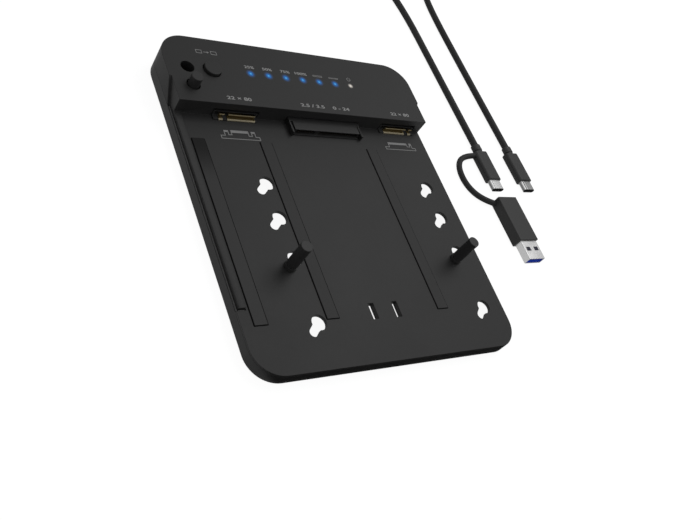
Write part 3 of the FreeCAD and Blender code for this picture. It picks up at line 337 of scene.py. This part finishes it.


# The rest strips: soft rubber that a drive lies on. Under each is a thin black sheet, a little wider than
# the strip, a painted shadow that shows as a dark line at its left, right and front edges. The left one
# is rougher toward its rear end, and darker there by a painted shade near the bar.

strip_rubber = plastic("strip_rubber", srgb(47), rough=0.56, grain=1600.0, depth=0.006,
                       Specular_IOR_Level=0.34)
# Painted shade: the left strip darkens toward its rear end near the bar, and grows rougher there too.
strip_shaded_dull, shade, shader = new_material("strip_shaded_dull", Specular_IOR_Level=0.34)
place = shade.node("TexCoord", output="Object")
grains = shade.node("TexNoise", values={"Vector": place, "Scale": 1600.0, "Detail": 2.0})
shade_and_dulling_start, full_shade_and_dulling = 6 * MM, 27 * MM
rear_shade_and_dulling = shade.node("MapRange", {"interpolation_type": "SMOOTHSTEP"},
                      {0: place.part(1), 1: shade_and_dulling_start, 2: full_shade_and_dulling, 3: 0.0, 4: 1.0})
feed(shader, "Base Color", shade.mix(rear_shade_and_dulling, shade.mix(grains, srgb(44), srgb(50)), srgb(22)))
feed(shader, "Roughness", grains * 0.06 + rear_shade_and_dulling * 0.25 + 0.5)
feed(shader, "Normal", grained(shade, grains, 0.006))
# Painted shadow: a thin black sheet under each strip, wider than it, that shows as a dark line at its edges.
painted_shadow_tape = plastic("painted_shadow_tape", srgb(10), rough=0.8, grain=600.0, Specular_IOR_Level=0.1)
shadow_tape_left, shadow_tape_right, shadow_tape_front, shadow_tape_rear = 0.42 * MM, 0.46 * MM, 0.35 * MM, 0.1 * MM
shadow_tape_thick, shadow_tape_round = 0.06 * MM, 0.3 * MM
for side in ("left", "middle", "right"):
    node = "drive_strip_" + side
    softened(node, "strip_" + side, strip_shaded_dull if side == "left" else strip_rubber, 0.08)
    low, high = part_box(node)
    low = Vector((low.x - shadow_tape_left, low.y - shadow_tape_front, low.z))
    high = Vector((high.x + shadow_tape_right, high.y + shadow_tape_rear, low.z + shadow_tape_thick))
    shape = bmesh.new()
    bmesh.ops.create_cube(shape, size=1.0)
    bmesh.ops.scale(shape, vec=high - low, verts=shape.verts)
    bmesh.ops.translate(shape, vec=(high + low) / 2, verts=shape.verts)
    upright = [e for e in shape.edges if abs((e.verts[0].co - e.verts[1].co).z) > 0.01 * MM]
    bmesh.ops.bevel(shape, geom=upright, offset=shadow_tape_round, offset_type="OFFSET", segments=3, profile=0.5,
                    affect="EDGES", material=-1)
    shadow_tape = placed("strip_tape_" + side, shape, painted_shadow_tape)
    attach(shadow_tape, "case")


# The feet: four round pads of soft rubber with a dull rough face, stuck into shallow recesses under the
# corners of the base.

foot_rubber = plastic("foot_rubber", srgb(30), rough=0.8, grain=1200.0, depth=0.01, Specular_IOR_Level=0.25)
for corner in ("front_left", "front_right", "rear_left", "rear_right"):
    softened("foot_" + corner, "pad_" + corner, foot_rubber, 0.3, segments=3)


# The posts: turned plastic pins with a flange under the plate, a collar and a waist. Two stand in keyholes
# and slide to the wide end, and a spare one is kept in the bar.

post_black = plastic("post_black", srgb(50), rough=0.48, Specular_IOR_Level=0.35)
for spot in ("left", "right", "spare"):
    softened("post_" + spot, "pin_" + spot, post_black, 0.1, body=f"post_{spot}_body")


# The copy button: a smooth plastic cap in a round hole, with the stem that it is moulded with and the small
# switch that the stem presses.

button_black = plastic("button_black", srgb(41), rough=0.45, grain=1500.0, depth=0.002,
                       Specular_IOR_Level=0.35)


def wear(node, material):
    """Puts a material into every slot of a node that stays as it is."""
    for slot in nodes[node].material_slots:
        slot.material = material


softened("clone_button", "button_cap", button_black, 0.35, body="button", segments=3)
wear("clone_plunger", button_black)
wear("clone_switch", plastic("switch_black", srgb(24), rough=0.4))


# The light pipes: clear moulded rods up to the roof of the bar, lit from below by the chips on the board, six
# of them blue and the last one white. Each is brightest in its middle.

blue_glow = [(0.0, srgb(104, 180, 232)), (0.5, srgb(50, 128, 194)), (1.0, srgb(24, 88, 150))]
white_glow = [(0.0, srgb(238, 232, 224)), (0.6, srgb(196, 190, 182)), (1.0, srgb(120, 116, 112))]
pipe_count, glow_radius = 7, 1.0 * MM
for index in range(1, pipe_count + 1):
    name = f"light_pipe_{index}"
    low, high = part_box(name)
    top_middle = ((low.x + high.x) / 2, (low.y + high.y) / 2, high.z)
    lit, shade, shader = new_material(f"pipe_glow_{index}", Roughness=0.3, Emission_Strength=0.9,
                                      Specular_IOR_Level=0.2)
    place = shade.node("TexCoord", output="Object")
    gap = shade.node("VectorMath", {"operation": "DISTANCE"}, {0: place, 1: top_middle}, "Value")
    core = (gap * (1 / glow_radius)).ramp(blue_glow if index < pipe_count else white_glow)
    feed(shader, "Emission Color", core)
    feed(shader, "Base Color", shade.mix(0.85, core, black))
    softened(name, f"lamp_{index}", lit, 0.2, segments=3)
wear("light_chips", plastic("chip_white", srgb(215, 214, 200), rough=0.4))


# The printing: pale grey screen ink, no thicker than a hair, on the bar and on the plate. Plain numbers and
# signs stand over the lights, sizes over the sockets and the outlines of card edges before them.

ink, ink_dim = [
    plastic(name, colour, rough=0.6, grain=2500.0, depth=0.002, fleck=0.06, Specular_IOR_Level=0.2)
    for name, colour in (("ink_grey", srgb(176)), ("ink_dim", srgb(160)))]
ink_thick, ink_sunk, plate_z = 0.02, 0.005, 7.5


def lettered(shape, words, left, low, width, height):
    """Adds a line of plain figures on the bar to a shape, fitted into its width and height."""
    curve = bpy.data.curves.new("figures", "FONT")
    curve.body = words
    curve.extrude = 0.5
    curve.offset = 0.02
    drawn = bpy.data.objects.new("figures", curve)
    scene.collection.objects.link(drawn)
    mesh = bpy.data.meshes.new_from_object(drawn)
    bpy.data.objects.remove(drawn)
    spots = [v.co for v in mesh.vertices]
    least = Vector(min(s[i] for s in spots) for i in range(3))
    most = Vector(max(s[i] for s in spots) for i in range(3))
    size = most - least
    fit = Matrix.Diagonal((width / size.x * MM, height / size.y * MM, ink_thick / size.z * MM, 1))
    corner = Vector((left, low, bar_z - ink_sunk)) * MM
    mesh.transform(Matrix.Translation(corner) @ fit @ Matrix.Translation(-least))
    shape.from_mesh(mesh)
    bpy.data.meshes.remove(mesh)


def drawn_shape(shape, corners, line, z):
    """Adds a flat figure of ink: its outline of the given line width, or the whole of it where line is 0."""
    face = shape.faces.new([shape.verts.new((x * MM, y * MM, (z - ink_sunk) * MM)) for x, y in corners])
    face.normal_update()
    faces = [face]
    if line:
        faces = bmesh.ops.inset_region(shape, faces=[face], thickness=line * MM, use_even_offset=True,
                                       use_boundary=True)["faces"]
        bmesh.ops.delete(shape, geom=[face], context="FACES_ONLY")
    grown = bmesh.ops.extrude_face_region(shape, geom=faces, use_keep_orig=True)
    raised = [v for v in grown["geom"] if isinstance(v, bmesh.types.BMVert)]
    bmesh.ops.translate(shape, vec=(0, 0, ink_thick * MM), verts=raised)


def printed(name, shape, material):
    """Makes a finished sheet of figures or signs a piece of the case."""
    bmesh.ops.recalc_face_normals(shape, faces=shape.faces)
    piece = placed(name, shape, material)
    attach(piece, "case")


def box_corners(left, low, right, high):
    return [(left, low), (right, low), (right, high), (left, high)]


sizes = (("22 × 80", -45.6, 12.2), ("2.5 / 3.5    0 - 24", -7.3, 28.0), ("22 × 80", 46.6, 12.1))
shares = (("25%", -30.5, 5.0), ("50%", -21.1, 5.2), ("75%", -11.3, 5.2), ("100%", -3.2, 6.8))
sizes_low, sizes_tall, shares_low, shares_tall = 45.9, 1.9, 66.2, 1.6
shape = bmesh.new()
for words, left, width in sizes:
    lettered(shape, words, left, sizes_low, width, sizes_tall)
for words, left, width in shares:
    lettered(shape, words, left, shares_low, width, shares_tall)
printed("bar_figures", shape, ink)

signs_low = 66.3
shape = bmesh.new()
drawn_shape(shape, box_corners(7.1, signs_low, 12.5, 67.3), 0.25, bar_z)
drawn_shape(shape, box_corners(16.5, signs_low, 20.9, 67.0), 0.22, bar_z)
drawn_shape(shape, box_corners(21.2, signs_low, 22.0, 67.0), 0, bar_z)
for left in (-53.0, -45.7):
    drawn_shape(shape, box_corners(left, 71.9, left + 3.0, 74.0), 0.28, bar_z)
arrow = [(-49.3, 72.8), (-47.5, 72.8), (-47.5, 72.3), (-46.5, 72.95), (-47.5, 73.6), (-47.5, 73.1),
         (-49.3, 73.1)]
drawn_shape(shape, arrow, 0, bar_z)
ring_x, ring_y, ring_radius, ring_line = 28.85, 67.25, 1.15, 0.28
ring = []
for radius, angles in ((ring_radius, range(125, 416, 15)), (ring_radius - ring_line, range(410, 119, -15))):
    ring += [(ring_x + radius * cos(radians(a)), ring_y + radius * sin(radians(a))) for a in angles]
drawn_shape(shape, ring, 0, bar_z)
bar = box_corners(ring_x - ring_line / 2, ring_y + 0.1, ring_x + ring_line / 2, ring_y + 1.35)
drawn_shape(shape, bar, 0, bar_z)
printed("bar_signs", shape, ink_dim)

edge_line = 0.34
left_card_edge = [
    (-49.8, 30.3), (-30.3, 30.3), (-30.3, 32.3), (-32.2, 32.3), (-32.2, 35.1), (-34.2, 35.1), (-34.2, 32.7),
    (-35.5, 32.7), (-35.5, 35.3), (-44.3, 35.3), (-44.3, 32.8), (-45.5, 32.8), (-45.5, 35.1), (-47.7, 35.1),
    (-47.7, 32.3), (-49.8, 32.3)]
right_card_edge = [
    (41.7, 30.3), (61.5, 30.3), (61.5, 32.1), (59.6, 32.1), (59.6, 34.9), (58.1, 34.9), (58.1, 32.9),
    (56.6, 32.9), (56.6, 34.9), (44.3, 34.9), (44.3, 32.1), (41.7, 32.1)]
left_contacts = ((-43.9, 33.9, -35.9, 34.9), (-47.3, 34.1, -45.9, 34.75), (-33.8, 34.1, -32.6, 34.75))
right_contacts = ((44.7, 33.6, 56.2, 34.5), (58.5, 33.6, 59.2, 34.5))
shape = bmesh.new()
for outline, contacts in ((left_card_edge, left_contacts), (right_card_edge, right_contacts)):
    drawn_shape(shape, outline, edge_line, plate_z)
    for group in contacts:
        drawn_shape(shape, box_corners(*group), 0, plate_z)
printed("plate_signs", shape, ink_dim)


# The card sockets: black housings in their windows. Each contact is a strip of gilt spring metal 0.3 mm wide,
# one every 0.5 mm, that lies on the lower lip, rises to a crown at the mouth and runs on into the slot.

socket_black, card_black = [
    plastic(name, colour, rough=rough, grain=1500.0, depth=0.002, Specular_IOR_Level=0.35)
    for name, colour, rough in (("socket_black", srgb(37), 0.42), ("card_black", srgb(46), 0.5))]
gold, shade, shader = new_material("contact_gold", Metallic=1.0)
place = shade.node("TexCoord", output="Object")
tone = shade.node("TexNoise", values={"Vector": place, "Scale": 700.0})
pins_front, pins_depth = 40.3 * MM, 3.1 * MM
# Painted highlights: the gilt is pale at the bend of the tail and from the crown on, where the bends catch
# the lamp, and dark on the flat between.
painted_bend_highlights = ((place.part(1) - pins_front) * (1 / pins_depth)).ramp([
    (0.0, srgb(214, 204, 178)), (0.2, srgb(204, 192, 160)), (0.3, srgb(150, 130, 86)),
    (0.82, srgb(140, 120, 76)), (0.88, srgb(200, 186, 150)), (1.0, srgb(190, 174, 136))])
feed(shader, "Base Color", shade.mix(tone * 0.2, painted_bend_highlights, srgb(60, 50, 34)))
feed(shader, "Roughness", tone * 0.1 + 0.38)
pin_width, pin_pitch = 0.3, 0.5
tail = [(40.59, 8.1), (43.0, 8.1), (43.0, 8.36), (41.1, 8.37), (40.75, 8.33), (40.5, 8.15), (40.38, 7.9),
        (40.35, 7.56), (40.59, 7.56)]
crown = [(42.98, 8.1), (47.6, 8.1), (47.6, 8.35), (44.2, 8.4), (43.6, 8.8), (43.2, 8.82), (42.98, 8.6)]
upper_pin = [(43.6, 9.75), (43.9, 9.6), (44.4, 9.85), (47.6, 9.9), (47.6, 10.1), (43.6, 10.1)]


def row_of_pins(shape, profile, left, right):
    """Fills a stretch along X with pins side by side, all of one profile in Y and Z."""
    count = int((right - left - pin_width) / pin_pitch) + 1
    spare = (right - left - (count - 1) * pin_pitch - pin_width) / 2
    for index in range(count):
        x = (left + spare + index * pin_pitch) * MM
        face = shape.faces.new([shape.verts.new((x, y * MM, z * MM)) for y, z in profile])
        grown = bmesh.ops.extrude_face_region(shape, geom=[face], use_keep_orig=True)
        moved = [v for v in grown["geom"] if isinstance(v, bmesh.types.BMVert)]
        bmesh.ops.translate(shape, vec=(pin_width * MM, 0, 0), verts=moved)


for side in ("left", "right"):
    softened("card_socket_" + side, "card_housing_" + side, card_black, 0.08)
    node = "card_contacts_" + side
    low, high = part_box(node)
    left, right = low.x / MM, high.x / MM
    if side == "left":
        front = [(left + 1.4, left + 3.3), (left + 5.6, right - 0.1)]
        rear = [(left + 2.4, left + 4.8), (left + 6.8, right + 0.6)]
    else:
        front = [(left + 1.1, left + 14.7), (left + 16.9, left + 18.9)]
        rear = [(left + 3.1, left + 16.9), (left + 18.6, right + 0.9)]
    shape = bmesh.new()
    for profile, stretches in ((tail, front), (crown, rear), (upper_pin, rear)):
        for stretch in stretches:
            row_of_pins(shape, profile, *stretch)
    bmesh.ops.recalc_face_normals(shape, faces=shape.faces)
    pins = placed("card_pins_" + side, shape, gold)
    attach(pins, "case")
    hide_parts(node)


# The drive socket: a keyed block of black plastic with thin ears that guide a drive, and 22 blades of dull
# gilt metal in its two slots.

softened("drive_socket", "drive_housing", socket_black, 0.1)
contact_dull = plastic("contact_dull", srgb(112, 106, 94), rough=0.4, grain=1800.0, depth=0.002, Metallic=1.0)
wear("drive_contacts", contact_dull)


# The board and what is soldered to it, all inside the bar: green varnished laminate, two chips in black resin
# and the coils in grey ferrite.

wear("main_board", plastic("board_green", srgb(24, 62, 44), rough=0.4, grain=300.0))
for name in ("bridge_chip", "hub_chip"):
    wear(name, plastic(name + "_black", srgb(34), rough=0.45))
wear("power_coils", plastic("coil_grey", srgb(70, 70, 74), rough=0.5))


# The ports in the rear wall: a bright drawn shell with its tongue, a barrel inlet with its pin, and a slide
# switch in a steel can with a black knob.

steel, shade, shader = new_material("plug_steel", Metallic=1.0)
place = shade.node("TexCoord", output="Object")
tone = shade.node("TexNoise", values={"Vector": place, "Scale": 260.0, "Detail": 3.0})
feed(shader, "Base Color", shade.mix(tone, srgb(226), srgb(236)))
feed(shader, "Roughness", tone * 0.06 + 0.33)
softened("data_port_shell", "data_port_rim", steel, 0.06)
wear("data_port_tongue", socket_black)
softened("power_inlet_body", "power_inlet_block", socket_black, 0.1)
wear("power_inlet_pin", steel)
softened("power_switch_body", "power_switch_can", steel, 0.1)
softened("power_switch_knob", "power_switch_slider", button_black, 0.2, body="power_knob")


# The screws: zinc-plated steel with a domed head, up into the bosses of the cover and the board. The cross in
# each head under the base is a thin dark block laid over the head, painted shade in place of a recess.

zinc, shade, shader = new_material("screw_zinc", Metallic=1.0)
place = shade.node("TexCoord", output="Object")
tone = shade.node("TexNoise", values={"Vector": place, "Scale": 500.0, "Detail": 3.0})
feed(shader, "Base Color", shade.mix(tone, srgb(120, 122, 126), srgb(160, 160, 164)))
feed(shader, "Roughness", tone * 0.2 + 0.3)
for name in ("cover_screws", "board_screws"):
    wear(name, zinc)
# Painted shade: a near-black cross block on each head stands for the shade of a recess.
painted_cross_shade = plastic("painted_cross_shade", srgb(16), rough=0.7, Specular_IOR_Level=0.2)
cross_long, cross_wide = 1.3, 0.28
cover_screw_spots = ((-44.0, -75.0), (44.0, -75.0), (-44.0, 73.0), (44.0, 73.0))
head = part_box("cover_screws")[0].z / MM
crosses = []
for x, y in cover_screw_spots:
    for reach_x, reach_y in ((cross_long, cross_wide), (cross_wide, cross_long)):
        crosses.append(((x - reach_x, y - reach_y, head - 0.02), (x + reach_x, y + reach_y, head + 0.2)))
blocks("screw_crosses", crosses, 0.05, painted_cross_shade, 1)


# The plugs and the adapter: soft grips moulded over bright steel shells. The plugs' steel has painted
# reflections, brighter and darker streaks across its width, and a painted shade on a band round the mouth.

grip_black = plastic("grip_black", srgb(62), rough=0.5, grain=1100.0, Specular_IOR_Level=0.34)
plug_middles, plug_front, plug_half, shaded_mouth_band = {"a": 114.7, "b": 140.0}, 10.6, 4.1, 0.22
relief_front, relief_widening = 36.3, 1.28


def steel_with_painted_reflections(name, middle, stops):
    """Steel with painted reflections, streaks across a plug's width, and a painted shade round its mouth."""
    material, shade, shader = new_material(name, Metallic=1.0)
    place = shade.node("TexCoord", output="Object")
    tone = shade.node("TexNoise", values={"Vector": place, "Scale": 400.0, "Detail": 2.0})
    painted_reflection = ((place.part(0) - (middle - plug_half) * MM) * (1 / (2 * plug_half * MM))).ramp(stops)
    feed(shader, "Base Color", shade.mix(place.part(1) < (plug_front + shaded_mouth_band) * MM, painted_reflection, srgb(16)))
    feed(shader, "Roughness", tone * 0.06 + 0.33)
    return material


def widen_relief(middle):
    """Gives the strain relief behind a plug its flat oval section."""
    def reshape(shape):
        sleeve = [v for v in shape.verts if v.co.y > relief_front * MM]
        bmesh.ops.scale(shape, vec=(relief_widening, 1, 1), space=Matrix.Translation((-middle * MM, 0, 0)),
                        verts=sleeve)
    return reshape


painted_reflections = {
    "a": [(0.0, srgb(150)), (0.03, srgb(228)), (0.11, srgb(224)), (0.14, srgb(90)), (0.2, srgb(226)),
          (0.88, srgb(222)), (0.95, srgb(130)), (1.0, srgb(80))],
    "b": [(0.0, srgb(150)), (0.03, srgb(220)), (0.11, srgb(210)), (0.14, srgb(80)), (0.22, srgb(160)),
          (0.28, srgb(244)), (0.34, srgb(172)), (0.88, srgb(180)), (1.0, srgb(80))]}
for letter, middle in plug_middles.items():
    plug = "plug_" + letter
    softened(plug + "_body", plug + "_grip", grip_black, 0.25, segments=3, reshape=widen_relief(middle))
    shell_painted_steel = steel_with_painted_reflections("drawn_steel_" + letter, middle, painted_reflections[letter])
    softened(plug + "_shell", plug + "_sleeve", shell_painted_steel, 0.06)
softened("adapter_body", "adapter_grip", grip_black, 0.2, segments=3)
hole_middles, holes_y, hole_reach, hole_widening = (110.6, 116.4), -29.5, 1.3, 1.36


def widen_holes(shape):
    """Makes the two spring holes in the top of the shell wider than they are long."""
    for hole in hole_middles:
        rim = [v for v in shape.verts if abs(v.co.x - hole * MM) < hole_reach * MM
               and abs(v.co.y - holes_y * MM) < hole_reach * MM and v.co.z > 5 * MM]
        bmesh.ops.scale(shape, vec=(hole_widening, 1, 1), space=Matrix.Translation((-hole * MM, 0, 0)),
                        verts=rim)


softened("adapter_shell", "adapter_sleeve", steel, 0.08, reshape=widen_holes)
tongue_blue = plastic("tongue_blue", srgb(22, 78, 236), rough=0.6, Specular_IOR_Level=0.1)
softened("adapter_tongue", "adapter_blade", tongue_blue, 0.1)


# Inside the plugs and the adapter: a moulded tongue carrier with its slot in each oval mouth, a dark navy
# block under each hole in the adapter's shell, painted shade for the inside of the hole, and gilt pads on
# its tongue.

def carrier(name, centre, size, slot_tall, depth):
    """An oval block along Y with a slot sunk into its front face."""
    shape = bmesh.new()
    bmesh.ops.create_cube(shape, size=1.0)
    bmesh.ops.scale(shape, vec=Vector(size) * MM, verts=shape.verts)
    lengthwise = [e for e in shape.edges if abs((e.verts[0].co - e.verts[1].co).y) > 0.5 * size[1] * MM]
    bmesh.ops.bevel(shape, geom=lengthwise, offset=size[2] * 0.48 * MM, offset_type="OFFSET", segments=6,
                    profile=0.5, affect="EDGES", material=-1)
    front = min(shape.faces, key=lambda f: f.calc_center_median().y)
    rim = (size[2] - slot_tall) / 2 * MM
    bmesh.ops.inset_region(shape, faces=[front], thickness=rim, use_even_offset=True)
    grown = bmesh.ops.extrude_face_region(shape, geom=[front])
    bmesh.ops.delete(shape, geom=[front], context="FACES_ONLY")
    sunk = [v for v in grown["geom"] if isinstance(v, bmesh.types.BMVert)]
    bmesh.ops.translate(shape, vec=(0, depth * MM, 0), verts=sunk)
    bmesh.ops.translate(shape, vec=Vector(centre) * MM, verts=shape.verts)
    bmesh.ops.recalc_face_normals(shape, faces=shape.faces)
    piece = placed(name, shape, socket_black)
    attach(piece, "case")


for letter, middle in plug_middles.items():
    carrier(f"plug_{letter}_carrier", centre=(middle, 13.6, 2.4), size=(7.6, 5.4, 1.96), slot_tall=1.2,
            depth=4.6)
# Painted shade: a dark navy block just under each hole in the shell, for the shade inside it.
painted_hole_shade = plastic("painted_hole_shade", srgb(12, 16, 48), rough=0.5)
hole_shades = [((x - 1.52, holes_y - 1.12, 5.27), (x + 1.52, holes_y + 1.12, 5.44)) for x in hole_middles]
blocks("adapter_hole_shades", hole_shades, 0.03, painted_hole_shade, 1)
pads = [((x - 0.6, -34.6, 3.13), (x + 0.6, -27.4, 3.2)) for x in (110.0, 112.4, 114.6, 117.0)]
blocks("adapter_pads", pads, 0.02, gold, 1)


# The cable: one round jacketed lead from plug to plug. Its two ends lie straight along the desk, and its
# middle is wound behind the view into a flat coil, inward on a lower layer and outward on an upper one.

jacket = plastic("jacket_black", srgb(50), rough=0.6, grain=1400.0, depth=0.003, Specular_IOR_Level=0.3)
cable_radius = 1.95
lead_a = [(114.7, 41.1, 2.4), (114.7, 98.0, 2.05), (114.6, 153.0, 2.0)]
lead_b = [(144.3, 176.8, 2.6), (140.05, 157.0, 2.0), (140.0, 100.0, 2.05), (140.0, 41.1, 2.4)]
coil_x, coil_y, outer_turn, coil_width = 126.9, 197.0, 24.3, 7.8
turns, per_turn, start = 5.55, 16, radians(205)
lower_layer, layer_pitch, climb_from, climb_over = 2.25, 3.9, 0.47, 0.06
steps = int(turns * per_turn)
wound = []
for step in range(steps + 1):
    along = step / steps
    angle = start - 2 * pi * turns * along
    inward = min(1.0, 2 * along, 2 * (1 - along))
    radius = (outer_turn - coil_width * inward) / cos(pi / per_turn)
    height = lower_layer + layer_pitch * min(1.0, max(0.0, (along - climb_from) / climb_over))
    wound.append((coil_x + radius * cos(angle), coil_y + radius * sin(angle), height))
route = [Vector(p) * MM for p in lead_a + wound + lead_b]


def laid(name, points, radius):
    """A round cord on one smooth spline through its route."""
    curve = bpy.data.curves.new(name, "CURVE")
    curve.dimensions = "3D"
    curve.bevel_depth = radius * MM
    curve.bevel_resolution = 5
    curve.resolution_u = 6
    curve.use_fill_caps = True
    spline = curve.splines.new("NURBS")
    spline.points.add(len(points) - 1)
    for point, spot in zip(spline.points, points):
        point.co = (*spot, 1.0)
    spline.order_u = 3
    spline.use_endpoint_u = True
    made = bpy.data.objects.new(name, curve)
    scene.collection.objects.link(made)
    curve.materials.append(jacket)
    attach(made, "case")
    return made


cable = laid("cable", route, cable_radius)
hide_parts("cable_lead_a", "cable_lead_b", "cable_coil")


# The tie: a soft woven band closed round the section of the coil, across both its layers. Its low and high
# corners are distances from the coil's middle and heights over the desk.

tie_band = plastic("tie_band", srgb(34), rough=0.85, grain=3000.0, depth=0.02, Specular_IOR_Level=0.15)
tie_low, tie_high = Vector((14.95, 0.02)) * MM, Vector((26.15, 8.5)) * MM
tie_width, tie_round, tie_thick, tie_angle = 6.0 * MM, 1.6 * MM, 0.25 * MM, radians(70)
tie_size, tie_middle = tie_high - tie_low, (tie_high + tie_low) / 2
shape = bmesh.new()
bmesh.ops.create_cube(shape, size=1.0)
bmesh.ops.delete(shape, geom=[f for f in shape.faces if abs(f.normal.y) > 0.5], context="FACES_ONLY")
bmesh.ops.scale(shape, vec=(tie_size.x, tie_width, tie_size.y), verts=shape.verts)
corners = [e for e in shape.edges if abs((e.verts[0].co - e.verts[1].co).y) > 1 * MM]
bmesh.ops.bevel(shape, geom=corners, offset=tie_round, offset_type="OFFSET", segments=5, profile=0.5,
                affect="EDGES", material=-1)
bmesh.ops.translate(shape, vec=(tie_middle.x, 0, tie_middle.y), verts=shape.verts)
bmesh.ops.rotate(shape, cent=(0, 0, 0), matrix=Matrix.Rotation(tie_angle, 3, "Z"), verts=shape.verts)
bmesh.ops.translate(shape, vec=(coil_x * MM, coil_y * MM, 0), verts=shape.verts)
tie = placed("coil_tie", shape, tie_band, smooth=180)
wall = tie.modifiers.new("wall", "SOLIDIFY")
wall.thickness, wall.offset = tie_thick, -1
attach(tie, "case")


# The strap: a short soft band of the same jacket, moulded to the grips at both its ends, that keeps the
# adapter on the first plug.

strap_radius = 1.6
strap_route = [(110.4, 34.3, 2.3), (100.6, 33.9, 1.9), (93.4, 26.0, 1.7), (92.7, 13.6, 1.7), (99.2, 4.4, 1.9),
               (107.3, 1.2, 2.5)]
strap = laid("strap", [Vector(p) * MM for p in strap_route], strap_radius)
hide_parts("adapter_strap")
